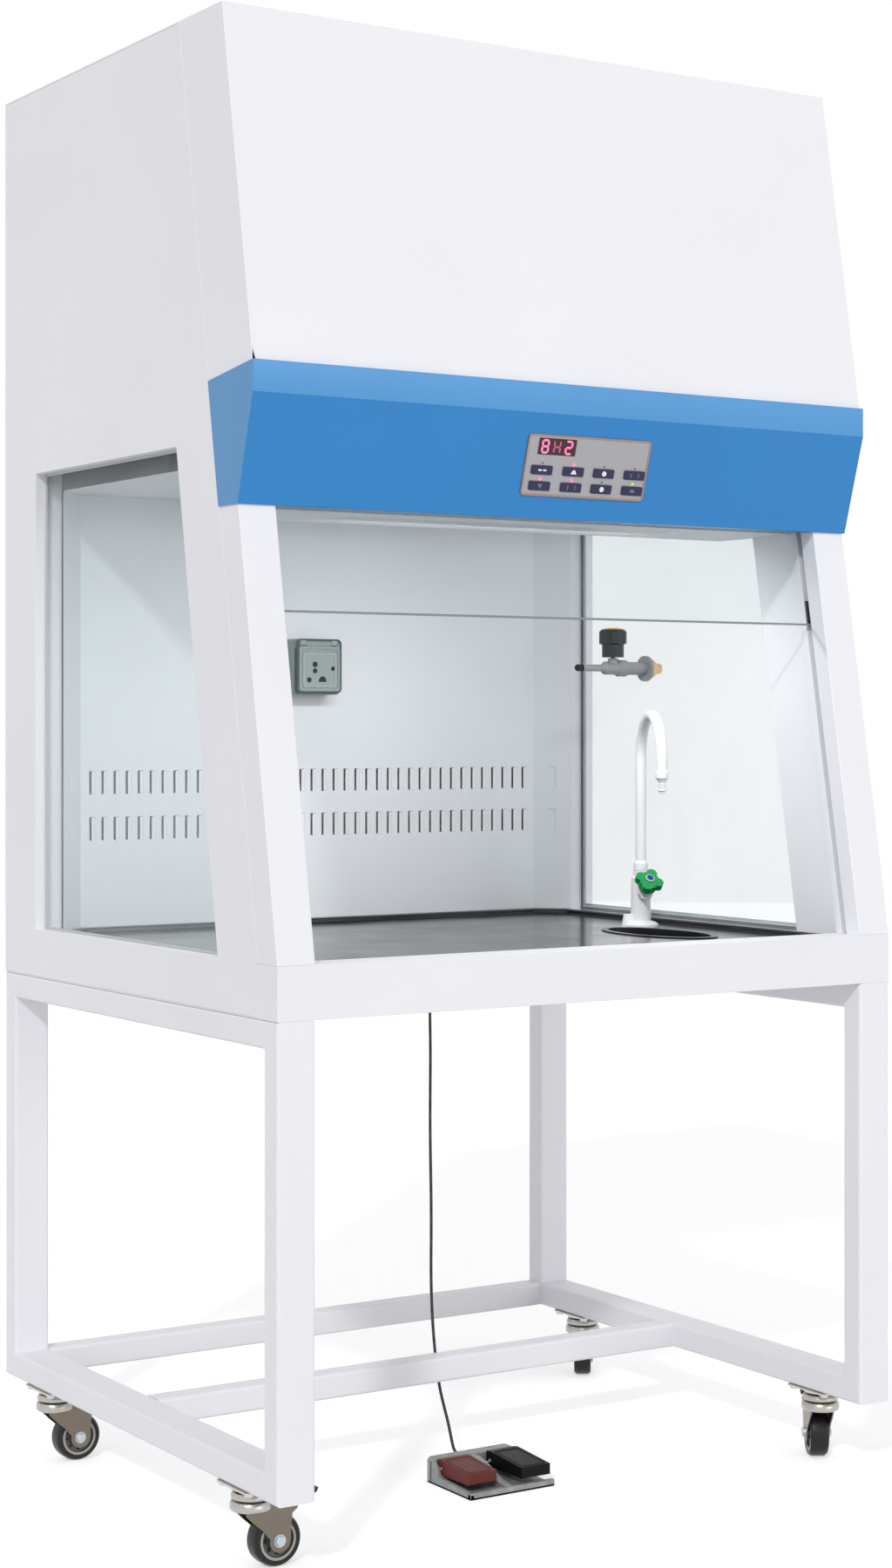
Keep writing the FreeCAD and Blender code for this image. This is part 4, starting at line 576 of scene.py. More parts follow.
class Palette:
    """Every finish of the hood, built once."""

    def __init__(self) -> None:
        """Build the materials."""
        self.white = Coating("white_powder_coat", (0.86, 0.86, 0.895)).make()
        self.tap_white = Coating("tap_white_coat", (0.86, 0.86, 0.88), roughness=0.28).make()
        self.liner = Coating("liner_coat", (0.80, 0.83, 0.86), roughness=0.5).make()
        # Lighter copy of the liner paint for the pressed tabs: painted light on their turned faces and cut
        # edges.
        self.tab = Coating("baffle_tab_coat", (0.88, 0.90, 0.92), roughness=0.45).make()
        # Darker brownish copy of the fork's zinc: painted shade on the cheeks under the swivel head.
        self.fork_leg_painted_shade = ZincPlate("fork_leg_zinc", (0.185, 0.160, 0.130), (0.215, 0.155, 0.095),
                                  (0.165, 0.165, 0.165)).make()
        self.crown = ZincPlate("swivel_zinc", (0.47, 0.46, 0.44), (0.50, 0.43, 0.31),
                               (0.40, 0.44, 0.48)).make()
        self.bolt = ZincPlate("bolt_zinc", (0.50, 0.56, 0.60), (0.55, 0.52, 0.44), (0.40, 0.52, 0.62)).make()
        self.blue = Coating("blue_powder_coat", (0.014, 0.228, 0.595), roughness=0.34, clouding=0.06).make()
        # Lighter copies of the same blue paint: painted sheen on the upright band and painted light on the
        # cheeks.
        self.blue_band_painted_sheen = Coating("blue_band_coat", (0.088, 0.335, 0.69), roughness=0.34, clouding=0.06).make()
        self.blue_cheek_painted_light = Coating("blue_side_coat", (0.075, 0.285, 0.58), roughness=0.34, clouding=0.06).make()
        self.valve_grey = Coating("valve_grey_coat", (0.33, 0.345, 0.36), roughness=0.32, clouding=0.1).make()
        self.stone = Stone("worktop_stone", (0.010, 0.010, 0.012), (0.06, 0.06, 0.065)).make()
        self.sink = Moulding("sink_moulding", (0.010, 0.010, 0.011), roughness=0.28).make()
        self.window = Pane("window_glass", (0.945, 0.960, 0.965), haze=0.06).make()
        self.sash = Pane("sash_glass", (0.972, 0.982, 0.984), haze=0.03).make()
        self.glass_edge = Moulding("glass_ground_edge", (0.20, 0.25, 0.25), roughness=0.35, scuff=0.0).make()
        self.zinc = ZincPlate("zinc_plate").make()
        self.steel = Spangle("galvanised_steel").make()
        self.brass = BrushedSheet("turned_brass", (0.72, 0.47, 0.25), roughness=0.25, metallic=0.95).make()
        self.plate = BrushedSheet("brushed_plate", (0.42, 0.41, 0.43)).make()
        self.copper = BrushedSheet("plate_edge", (0.42, 0.27, 0.20), roughness=0.3, metallic=0.6).make()
        self.navy = Moulding("key_navy", (0.006, 0.008, 0.055), roughness=0.30, scuff=0.05).make()
        self.print_white = Moulding("key_print", (0.85, 0.85, 0.90), roughness=0.5, scuff=0.0).make()
        self.print_faint = Moulding("key_print_faint", (0.16, 0.15, 0.24), roughness=0.5, scuff=0.0).make()
        self.lens = Moulding("display_lens", (0.030, 0.004, 0.016), roughness=0.12, scuff=0.0).make()
        self.segment_lit = Glow("segment_lit", (1.0, 0.16, 0.30), 1.9, (0.3, 0.02, 0.04)).make()
        self.segment_dim = Glow("segment_dim", (0.75, 0.14, 0.26), 0.55, (0.2, 0.02, 0.04)).make()
        self.light_red = Glow("status_red", (1.0, 0.13, 0.28), 2.2, (0.3, 0.02, 0.04)).make()
        self.light_green = Glow("status_green", (0.35, 0.75, 0.06), 1.1, (0.05, 0.2, 0.02)).make()
        self.light_off = Moulding("status_off", (0.14, 0.13, 0.11), roughness=0.35, scuff=0.0).make()
        self.rubber = Moulding("black_rubber", (0.012, 0.012, 0.012), roughness=0.55).make()
        self.tyre = Moulding("tyre_rubber", (0.014, 0.013, 0.012), roughness=0.34, scuff=0.35,
                             specular=0.28).make()
        self.hub = Moulding("hub_rim_plastic", (0.36, 0.355, 0.34), roughness=0.35, scuff=0.2).make()
        self.hub_dark = Moulding("hub_web_plastic", (0.075, 0.073, 0.070), roughness=0.35, scuff=0.2).make()
        self.brake = Moulding("brake_plastic", (0.010, 0.010, 0.010), roughness=0.30).make()
        self.opal = Moulding("lamp_opal", (0.55, 0.57, 0.58), roughness=0.35, scuff=0.0).make()
        self.card = Granules("filter_fleece", (0.62, 0.62, 0.58), (0.75, 0.75, 0.72), 0.004).make()
        self.carbon = Granules("carbon_bed", (0.015, 0.015, 0.016), (0.05, 0.05, 0.05), 0.004).make()
        self.socket = Moulding("socket_moulding", (0.30, 0.35, 0.345), roughness=0.38).make()
        # Lighter copy of the socket plastic: painted highlight on the bevelled border of the insert.
        self.socket_painted_highlight = Moulding("socket_bevel", (0.46, 0.49, 0.46), roughness=0.35).make()
        # Dark teal ring: painted shadow in the gap round the socket cover.
        self.socket_shadow_paint = Moulding("socket_seal_dark", (0.045, 0.085, 0.095), roughness=0.4, scuff=0.05).make()
        self.socket_cover = Moulding("socket_cover_moulding", (0.25, 0.30, 0.30), roughness=0.25).make()
        # Near-black used as painted shade: inside the socket's pin holes and in the race groove of the swivel
        # head.
        self.dark = Moulding("dark_inside", (0.006, 0.010, 0.014), roughness=0.5, scuff=0.0).make()
        self.knob = Moulding("knob_dark", (0.022, 0.030, 0.036), roughness=0.36).make()
        self.yellow = Moulding("knob_disc_yellow", (0.72, 0.42, 0.03), roughness=0.4, scuff=0.1).make()
        self.green = Moulding("knob_green", (0.006, 0.30, 0.075), roughness=0.22).make()
        self.cap_blue = Moulding("cap_blue", (0.012, 0.03, 0.26), roughness=0.3).make()
        self.cap_ring = Moulding("cap_ring", (0.42, 0.55, 0.40), roughness=0.3).make()
        self.cast = Casting("cast_grey", (0.255, 0.265, 0.262), (0.44, 0.45, 0.445)).make()
        self.red = Moulding("pedal_red", (0.135, 0.032, 0.028), roughness=0.45, scuff=0.08,
                            specular=0.16).make()
        self.black = Moulding("pedal_black", (0.0040, 0.0040, 0.0040), roughness=0.40, scuff=0.05,
                              specular=0.14).make()
        self.sheath = Sheath("cord_sheath", (0.012, 0.011, 0.009), (0.085, 0.075, 0.065)).make()
        self.gasket = Moulding("gasket_grey", (0.56, 0.57, 0.57), roughness=0.6).make()


class Frame:
    """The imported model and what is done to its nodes."""

    def __init__(self) -> None:
        """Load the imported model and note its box."""
        self.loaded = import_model()
        self.nodes: dict[str, bpy.types.Object] = self.loaded["nodes"]
        self.cad_box = [list(corner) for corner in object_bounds()]

    def dress(self, node: str, *finishes: bpy.types.Material, edge: float = 0.0006,
              pick: Callable[[Vector], int] | None = None, flat: bool = False,
              merge: bool = True) -> bpy.types.Object:
        """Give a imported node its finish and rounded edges.

        Args:
            node: name of the node.
            finishes: its materials.
            edge: width of the rounding of its edges in metres, 0 for none.
            pick: chooses one of the materials from the middle of a face.
            flat: shade every face flat and round no edge.
            merge: join the triangles of flat faces before the rounding.

        Returns:
            The node's object.
        """
        item = self.nodes[node]
        item.data.materials.clear()
        for finish in finishes:
            item.data.materials.append(finish)
        for face in item.data.polygons:
            face.material_index = pick(face.center) if pick else 0
        if not edge and not flat:
            return item
        given = item.data.attributes.get("custom_normal")
        if given:
            item.data.attributes.remove(given)
        if flat:
            item.data.shade_flat()
            return item
        item.data.shade_smooth()
        weld = item.modifiers.new("weld", "WELD")
        weld.merge_threshold = 0.00001
        if merge:
            whole = item.modifiers.new("whole_faces", "DECIMATE")
            whole.decimate_type = "DISSOLVE"
            whole.angle_limit = math.radians(1.0)
            whole.delimit = {"MATERIAL"}
        rounding = item.modifiers.new("edges", "BEVEL")
        rounding.width = edge
        rounding.segments = 2
        rounding.limit_method = "ANGLE"
        rounding.angle_limit = math.radians(32.0)
        rounding.use_clamp_overlap = False
        even = item.modifiers.new("even", "WEIGHTED_NORMAL")
        even.mode = "FACE_AREA"
        even.weight = 100
        return item


class Shape:
    """A mesh under construction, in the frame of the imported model."""

    def __init__(self, name: str) -> None:
        """Start an empty mesh.

        Args:
            name: name of the piece.
        """
        self.name = name
        self.mesh = bmesh.new()
        self.finishes: list[bpy.types.Material] = []

    def finish(self, material: bpy.types.Material) -> int:
        """Index of a material, added where it is new.

        Args:
            material: the material.

        Returns:
            Its index on this piece.
        """
        if material not in self.finishes:
            self.finishes.append(material)
        return self.finishes.index(material)

    def lathe(self, profile: Sequence[tuple[float, float]], origin: Point, axis: Point,
              material: bpy.types.Material, steps: int = 48) -> None:
        """Add a turned form.

        Args:
            profile: (radius, height) points from one end to the other.
            origin: where the axis starts.
            axis: direction of the axis.
            material: its finish.
            steps: faces round the axis.
        """
        index = self.finish(material)
        turn = Vector((0, 0, 1)).rotation_difference(Vector(axis)).to_matrix()
        rings = []
        for radius, height in profile:
            if radius <= 0:
                rings.append([self.mesh.verts.new(Vector(origin) + turn @ Vector((0, 0, height)))])
                continue
            ring = []
            for step in range(steps):
                angle = math.tau * step / steps
                local = Vector((radius * math.cos(angle), radius * math.sin(angle), height))
                ring.append(self.mesh.verts.new(Vector(origin) + turn @ local))
            rings.append(ring)
        for low, high in zip(rings, rings[1:]):
            for step in range(steps):
                after = (step + 1) % steps
                corners = [low[step % len(low)], low[after % len(low)], high[after % len(high)],
                           high[step % len(high)]]
                unique = list(dict.fromkeys(corners))
                if len(unique) > 2:
                    face = self.mesh.faces.new(unique)
                    face.material_index = index
        for ring in (rings[0], rings[-1]):
            if len(ring) > 1:
                self.mesh.faces.new(ring).material_index = index

    def prism(self, outline: Sequence[tuple[float, float]], low: float, high: float, frame: Matrix,
              material: bpy.types.Material) -> None:
        """Add an extruded outline.

        Args:
            outline: (x, y) points of the outline in its own plane.
            low: start along the plane's normal.
            high: end along the plane's normal.
            frame: from the plane's coordinates to the model's.
            material: its finish.
        """
        index = self.finish(material)
        floor = [self.mesh.verts.new(frame @ Vector((x, y, low))) for x, y in outline]
        roof = [self.mesh.verts.new(frame @ Vector((x, y, high))) for x, y in outline]
        count = len(outline)
        faces = [list(reversed(floor)), roof]
        for step in range(count):
            after = (step + 1) % count
            faces.append([floor[step], floor[after], roof[after], roof[step]])
        for corners in faces:
            self.mesh.faces.new(corners).material_index = index

    def frame_strip(self, outer: Sequence[tuple[float, float]], inner: Sequence[tuple[float, float]],
                    low: float, high: float, frame: Matrix, material: bpy.types.Material) -> None:
        """Add a closed strip between two outlines with the same number of points.

        Args:
            outer: outside outline in the strip's plane.
            inner: inside outline in the strip's plane.
            low: start along the plane's normal.
            high: end along the plane's normal.
            frame: from the plane's coordinates to the model's.
            material: its finish.
        """
        index = self.finish(material)
        loops = []
        for outline, level in ((outer, low), (outer, high), (inner, high), (inner, low)):
            loops.append([self.mesh.verts.new(frame @ Vector((x, y, level))) for x, y in outline])
        count = len(outer)
        for first, second in zip(loops, loops[1:] + loops[:1]):
            for step in range(count):
                after = (step + 1) % count
                face = self.mesh.faces.new([first[step], first[after], second[after], second[step]])
                face.material_index = index

    def close(self, body: str, slot: str | None = None, edge: float = 0.0, smooth: float = 32.0,
              stands_for: Iterable[str] = ()) -> bpy.types.Object:
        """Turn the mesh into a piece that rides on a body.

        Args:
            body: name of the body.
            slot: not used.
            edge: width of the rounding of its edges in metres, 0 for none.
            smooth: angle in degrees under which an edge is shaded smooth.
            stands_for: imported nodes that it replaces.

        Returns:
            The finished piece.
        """
        bmesh.ops.recalc_face_normals(self.mesh, faces=self.mesh.faces)
        data = bpy.data.meshes.new(self.name)
        self.mesh.to_mesh(data)
        self.mesh.free()
        for material in self.finishes:
            data.materials.append(material)
        data.shade_smooth()
        data.set_sharp_from_angle(angle=math.radians(smooth))
        item = bpy.data.objects.new(self.name, data)
        bpy.context.scene.collection.objects.link(item)
        if edge:
            rounding = item.modifiers.new("edges", "BEVEL")
            rounding.width = edge
            rounding.segments = 2
            rounding.limit_method = "ANGLE"
            rounding.angle_limit = math.radians(smooth)
            rounding.harden_normals = True
        return settle(item, body, stands_for)


def settle(item: bpy.types.Object, body: str,
           stands_for: Iterable[str] = ()) -> bpy.types.Object:
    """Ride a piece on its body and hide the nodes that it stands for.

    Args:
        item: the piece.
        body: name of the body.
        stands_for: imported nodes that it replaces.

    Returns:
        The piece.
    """
    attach(item, body)
    names = list(stands_for)
    if names:
        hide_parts(*names)
    LOG.info("piece %s rides on %s", item.name, body)
    return item


def circle(radius: float, middle: tuple[float, float] = (0.0, 0.0),
           steps: int = 32) -> list[tuple[float, float]]:
    """Points of a circle.

    Args:
        radius: its radius.
        middle: its middle.
        steps: number of points.

    Returns:
        The points.
    """
    return [(middle[0] + radius * math.cos(math.tau * step / steps),
             middle[1] + radius * math.sin(math.tau * step / steps)) for step in range(steps)]


def rounded(half_wide: float, half_high: float, radius: float, steps: int = 8) -> list[tuple[float, float]]:
    """Points of a rectangle with round corners about the origin.

    Args:
        half_wide: half of its width.
        half_high: half of its height.
        radius: corner radius.
        steps: points on each corner.

    Returns:
        The points, anticlockwise.
    """
    points = []
    for corner, (sign_x, sign_y) in enumerate(((1, 1), (-1, 1), (-1, -1), (1, -1))):
        for step in range(steps + 1):
            angle = math.pi / 2 * (corner + step / steps)
            points.append((sign_x * (half_wide - radius) + radius * math.cos(angle),
                           sign_y * (half_high - radius) + radius * math.sin(angle)))
    return points


class Pattern(NodeSheet):
    """A geometry node tree that repeats one small form and bakes it into a mesh."""

    def __init__(self, name: str, inputs: dict[str, str]) -> None:
        """Start the tree with its named inputs.

        Args:
            name: name of the tree.
            inputs: socket type of each named input.
        """
        tree = bpy.data.node_groups.new(name, "GeometryNodeTree")
        super().__init__(tree)
        for label, kind in {**inputs, "Finish": "NodeSocketMaterial"}.items():
            tree.interface.new_socket(name=label, in_out="INPUT", socket_type=kind)
        tree.interface.new_socket(name="Mesh", in_out="OUTPUT", socket_type="NodeSocketGeometry")
        wires = self.add("NodeGroupInput")
        self.given = dict(zip([*inputs, "Finish"], wires))

    def end(self, spots: Wire, form: Wire, rotation: Wire | None = None) -> None:
        """Put the form on every spot and close the tree.

        Args:
            spots: the points.
            form: the mesh that is repeated.
            rotation: turn of each copy, or None.
        """
        sockets: dict[Union[str, int], object] = {"Points": spots, "Instance": form}
        if rotation is not None:
            sockets["Rotation"] = rotation
        placed = self.add("GeometryNodeInstanceOnPoints", None, sockets)[0]
        real = self.add("GeometryNodeRealizeInstances", None, {0: placed})[0]
        smooth = self.add("GeometryNodeSetShadeSmooth", None, {0: real, "Shade Smooth": False})[0]
        coated = self.add("GeometryNodeSetMaterial", None, {0: smooth, "Material": self.given["Finish"]})[0]
        self.add("NodeGroupOutput", None, {0: coated})

    def bake(self, name: str, runs: Sequence[dict[str, object]], body: str, slot: str | None = None,
             smooth: float = 40.0) -> bpy.types.Object:
        """Evaluate the tree for each run of values and join the results into one piece.

        Args:
            name: name of the piece.
            runs: values of the inputs, one dictionary for each run.
            body: body that it rides on.
            slot: not used.
            smooth: angle in degrees under which an edge is shaded smooth.

        Returns:
            The piece.
        """
        sockets = {item.name: item.identifier for item in self.tree.interface.items_tree
                   if item.in_out == "INPUT"}
        whole = bmesh.new()
        finishes: list[bpy.types.Material] = []
        for values in runs:
            carrier = bpy.data.objects.new(name + "_carrier", bpy.data.meshes.new(name + "_carrier"))
            bpy.context.scene.collection.objects.link(carrier)
            modifier = carrier.modifiers.new("pattern", "NODES")
            modifier.node_group = self.tree
            for label, value in values.items():
                modifier[sockets[label]] = value
            ready = carrier.evaluated_get(bpy.context.evaluated_depsgraph_get())
            mesh = bpy.data.meshes.new_from_object(ready)
            before = len(whole.faces)
            whole.from_mesh(mesh)
            whole.faces.ensure_lookup_table()
            material = values["Finish"]
            if material not in finishes:
                finishes.append(material)
            for index in range(before, len(whole.faces)):
                whole.faces[index].material_index = finishes.index(material)
            carrier.modifiers.remove(modifier)
            bpy.data.objects.remove(carrier)
            bpy.data.meshes.remove(mesh)
        data = bpy.data.meshes.new(name)
        whole.to_mesh(data)
        whole.free()
        for material in finishes:
            data.materials.append(material)
        data.shade_smooth()
        data.set_sharp_from_angle(angle=math.radians(smooth))
        item = bpy.data.objects.new(name, data)
        bpy.context.scene.collection.objects.link(item)
        return settle(item, body)


class Patterns:
    """The repeating trees of the hood."""

    def __init__(self) -> None:
        """Build the trees."""
        self.screws = self._screw_row()
        self.tabs = self._tab_row()

    @staticmethod
    def _tab_row() -> Pattern:
        """Row of upright sheet tabs along a pitch, each turned about its own upright."""
        tree = Pattern("tab_row", {"Start": "NodeSocketVector", "Pitch": "NodeSocketVector",
                                   "Count": "NodeSocketInt", "Tab Size": "NodeSocketVector",
                                   "Tab Turn": "NodeSocketRotation"})
        given = tree.given
        line = tree.add("GeometryNodeMeshLine", {"mode": "OFFSET"},
                        {"Count": given["Count"], "Start Location": given["Start"],
                         "Offset": given["Pitch"]})[0]
        tab = tree.add("GeometryNodeMeshCube", None, {"Size": given["Tab Size"]})[0]
        tree.end(line, tab, given["Tab Turn"])
        return tree

    @staticmethod
    def _screw_row() -> Pattern:
        """Row of pan-head screws along a pitch."""
        tree = Pattern("screw_row", {"Start": "NodeSocketVector", "Pitch": "NodeSocketVector",
                                     "Count": "NodeSocketInt", "Outward": "NodeSocketVector",
                                     "Head Radius": "NodeSocketFloat", "Head Height": "NodeSocketFloat"})
        given = tree.given
        line = tree.add("GeometryNodeMeshLine", {"mode": "OFFSET"},
                        {"Count": given["Count"], "Start Location": given["Start"],
                         "Offset": given["Pitch"]})[0]
        head = tree.add("GeometryNodeMeshCone", {"fill_type": "NGON"},
                        {"Vertices": 24, "Side Segments": 1, "Radius Top": given["Head Radius"] * 0.72,
                         "Radius Bottom": given["Head Radius"], "Depth": given["Head Height"]})[0]
        dimple = tree.add("GeometryNodeMeshCylinder", {"fill_type": "NGON"},
                          {"Vertices": 6, "Radius": given["Head Radius"] * 0.38,
                           "Depth": given["Head Height"] * 1.3})[0]
        recessed = tree.add("GeometryNodeMeshBoolean", {"operation": "DIFFERENCE"}, {"Mesh 1": head})
        shifted = tree.add("GeometryNodeTransform", None, {0: dimple, "Translation": (0.0, 0.0, 0.0022)})[0]
        tree.tree.links.new(shifted.socket, recessed[0].socket.node.inputs["Mesh 2"])
        turn = tree.add("FunctionNodeAlignRotationToVector", {"axis": "Z"}, {"Vector": given["Outward"]})[0]
        tree.end(line, recessed[0], turn)
        return tree


@dataclass
class Studio:
    """Floor, light and camera."""

    eye: Point = (-2.343, -3.694, 1.183)
    heading: float = -32.556
    lens: float = 62.394
    shift: float = -0.0369
    sensor: float = 36.0
    floor_radius: float = 14.0
    sky: float = 0.62
    key: float = 1.05
    fill: float = 0.56
    chamber: float = 4.1

    def build(self) -> None:
        """Build the whole studio."""
        self.place_camera()
        self.light_world()
        self.add_sun("key_light", (0.9, 0.9, -0.85), self.key, 4.0)
        self.add_sun("fill_light", (-0.25, 1.0, -0.12), self.fill, 30.0)
        self.add_chamber_light()
        self.lay_floor()

    def add_chamber_light(self) -> None:
        """Soft light under the hood's own lamp."""
        data = bpy.data.lights.new("chamber_light", "AREA")
        data.shape = "RECTANGLE"
        data.size = 0.58
        data.size_y = 0.08
        data.energy = self.chamber
        lamp = bpy.data.objects.new("chamber_light", data)
        lamp.location = (0.0, -0.19, 1.488)
        lamp.rotation_euler = (math.radians(17.0), 0.0, 0.0)
        lamp.visible_camera = False
        lamp.visible_glossy = False
        bpy.context.scene.collection.objects.link(lamp)

    def place_camera(self) -> None:
        """Put the camera where the photograph was taken from."""
        data = bpy.data.cameras.new("camera")
        data.sensor_fit = "VERTICAL"
        data.sensor_width = self.sensor
        data.sensor_height = self.sensor
        data.lens = self.lens
        data.shift_y = self.shift
        data.clip_end = 200.0
        camera = bpy.data.objects.new("camera", data)
        camera.location = self.eye
        camera.rotation_euler = (math.pi / 2, 0.0, math.radians(self.heading))
        bpy.context.scene.collection.objects.link(camera)
        bpy.context.scene.camera = camera

    def add_sun(self, name: str, along: Point, strength: float, spread: float) -> None:
        """Add a sun lamp.

        Args:
            name: name of the lamp.
            along: direction in which its light travels.
            strength: its strength.
            spread: apparent size in degrees.
        """
        data = bpy.data.lights.new(name, "SUN")
        data.energy = strength
        data.angle = math.radians(spread)
        lamp = bpy.data.objects.new(name, data)
        lamp.rotation_mode = "QUATERNION"
        lamp.rotation_quaternion = Vector(along).to_track_quat("-Z", "Y")
        bpy.context.scene.collection.objects.link(lamp)

    @staticmethod
    def seen(sheet: NodeSheet) -> Wire:
        """1 for rays that should meet a white surround, 0 for rays that carry light.

        Args:
            sheet: tree of the world or of the floor.

        Returns:
            The share of white.
        """
        path = sheet.add("ShaderNodeLightPath")
        by_name = {wire.socket.name: wire for wire in path}
        shown = by_name["Is Camera Ray"] + by_name["Is Glossy Ray"] + by_name["Is Transmission Ray"]
        return sheet.add("ShaderNodeClamp", None, {0: shown})[0]

    def light_world(self) -> None:
        """White for what the camera and reflections see, softer for the light that it sheds."""
        world = bpy.data.worlds.new("studio")
        world.use_nodes = True
        bpy.context.scene.world = world
        sheet = NodeSheet(world.node_tree)
        sheet.tree.nodes.clear()
        light = sheet.add("ShaderNodeBackground", None, {0: (0.985, 0.99, 1.0), 1: self.sky})[0]
        white = sheet.add("ShaderNodeBackground", None, {0: (1.0, 1.0, 1.0), 1: 1.0})[0]
        both = sheet.add("ShaderNodeMixShader", None, {0: self.seen(sheet), 1: light, 2: white})[0]
        sheet.add("ShaderNodeOutputWorld", None, {"Surface": both})
        bpy.context.scene.view_settings.view_transform = "Standard"

    def lay_floor(self) -> None:
        """Pale floor that keeps the shadow of the hood and meets the backdrop without a line."""
        board = Board("studio_floor")
        grain = board.steps(board.noise(0.05, 3.0), 0.3, 0.7)
        paint = board.add("ShaderNodeBsdfDiffuse", None,
                          {0: board.mix(grain, (0.78, 0.78, 0.78), (0.80, 0.80, 0.80))})[0]
        lift = board.add("ShaderNodeEmission", None, {0: (1.0, 1.0, 1.0), 1: self.seen(board) * 0.47})[0]
        board.close(board.add("ShaderNodeAddShader", None, {0: paint, 1: lift})[0])
        mesh = bmesh.new()
        bmesh.ops.create_circle(mesh, cap_ends=True, segments=96, radius=self.floor_radius)
        data = bpy.data.meshes.new("studio_floor")
        mesh.to_mesh(data)
        mesh.free()
        data.materials.append(board.material)
        floor = bpy.data.objects.new("studio_floor", data)
        bpy.context.scene.collection.objects.link(floor)
        floor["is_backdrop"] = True


@dataclass
class FootSwitch:
    """Cast foot switch with its two pedals and its hanging cord."""

    frame: Frame
    palette: Palette
    patterns: Patterns
    left: float = -0.079
    wide: float = 0.156
    front: float = -0.218
    long: float = 0.138
    high: float = 0.036
    corner: float = 0.013
    floor: float = 0.004
    lip: float = 0.0105
    rail: float = 0.0135
    rear: float = 0.026
    wall: float = 0.007
    rib: float = -0.012
    rib_wide: float = 0.014
    pin: float = 0.002
    hinge: tuple[float, float] = (-0.1151, 0.022)
    red_span: Point = (-0.0700, -0.0165, -0.1955)
    black_span: Point = (0.0215, 0.0755, -0.2080)
    pedal_back: float = -0.1085
    pedal_flat: float = 0.010
    pedal_low: float = 0.0150
    pedal_top: float = 0.0398
    pedal_front_top: float = 0.0335
    cord_radius: float = 0.0025
    cord_length: float = 0.8354
    boot_long: float = 0.017
    boot_wide: float = 0.0052

    ROUTE = ((0.044, 0.095, 0.766), (0.0446, 0.095, 0.706), (0.046, 0.0954, 0.646), (0.0452, 0.095, 0.586),
             (0.0444, 0.0942, 0.526), (0.0452, 0.094, 0.466), (0.0468, 0.0946, 0.406),
             (0.0476, 0.0956, 0.346),
             (0.0472, 0.096, 0.286), (0.048, 0.095, 0.230), (0.049, 0.091, 0.180), (0.0475, 0.080, 0.134),
             (0.040, 0.057, 0.098), (0.029, 0.027, 0.078), (0.016, -0.006, 0.060), (0.004, -0.034, 0.042),
             (-0.004, -0.056, 0.026), (-0.004, -0.075, 0.026))

    def build(self) -> None:
        """Dress the switch and hang its cord."""
        self.add_casting()
        self.frame.dress("cord_gland", self.palette.rubber)
        self.add_pedal("red", self.palette.red, *self.red_span)
        self.add_pedal("black", self.palette.black, *self.black_span)
        self.add_cord()

    def add_casting(self) -> None:
        """Casting with its low side rail, raised rear, bowed rib and open right side."""
        casting = Shape("foot_switch_casting")
        left, right, front, back = self.left, self.left + self.wide, self.front, self.front + self.long
        corner = self.corner
        outline = [(left, front), (right, front), (right, back), (left + corner, back), (left, back - corner)]
        casting.prism(outline, 0.0, self.floor, FLOOR_PLANE, self.palette.cast)
        casting.prism([(left, front), (right, front), (right, front + 0.008), (left, front + 0.008)], 0.0,
                      self.lip, FLOOR_PLANE, self.palette.cast)
        rear = [(left + corner, back), (right - 0.001, back), (right - 0.001, back - self.rear),
                (left + corner, back - self.rear)]
        casting.prism(rear, 0.0, self.high, FLOOR_PLANE, self.palette.cast)
        post = [(left, back - corner), (left + corner, back), (left + corner, back - self.rear),
                (left, back - self.rear)]
        casting.prism(post, 0.0, self.high, FLOOR_PLANE, self.palette.cast)
        bend = back - self.rear
        rail = [(bend + 0.004, 0.0), (bend + 0.004, self.high), (bend - 0.004, self.high - 0.001),
                (bend - 0.013, self.high - 0.008), (bend - 0.019, self.high - 0.018),
                (bend - 0.030, self.rail + 0.001),
                (front + 0.010, self.lip + 0.0005), (front, self.lip - 0.002), (front, 0.0)]
        casting.prism(rail, left, left + self.wall, SIDE_PLANE, self.palette.cast)
        rib = [(bend + 0.004, 0.0), (bend + 0.004, self.high), (bend - 0.014, self.high - 0.0005),
               (bend - 0.034, self.high - 0.005), (bend - 0.056, self.high - 0.0125),
               (bend - 0.078, self.high - 0.0215),
               (front + 0.004, self.lip + 0.0005), (front + 0.001, 0.0)]
        casting.prism(rib, self.rib, self.rib + self.rib_wide, SIDE_PLANE, self.palette.cast)
        casting.lathe([(0.0, 0.0), (0.0056, 0.0), (0.0056, 0.0035), (0.0045, 0.005), (0.0, 0.005)],
                      (self.ROUTE[-1][0], back - 0.0008, self.ROUTE[-1][2]), (0.0, 1.0, 0.0),
                      self.palette.cast, 24)
        for low, high in ((left + 0.001, self.rib + 0.003),
                          (self.rib + self.rib_wide - 0.003, right - 0.002)):
            casting.lathe([(0.0, 0.0), (self.pin, 0.0), (self.pin, high - low), (0.0, high - low)],
                          (low, self.hinge[0], self.hinge[1]), (1.0, 0.0, 0.0), self.palette.zinc, 16)
        casting.close("hood", "cast_grey", edge=0.0009, stands_for=["foot_switch_base"])

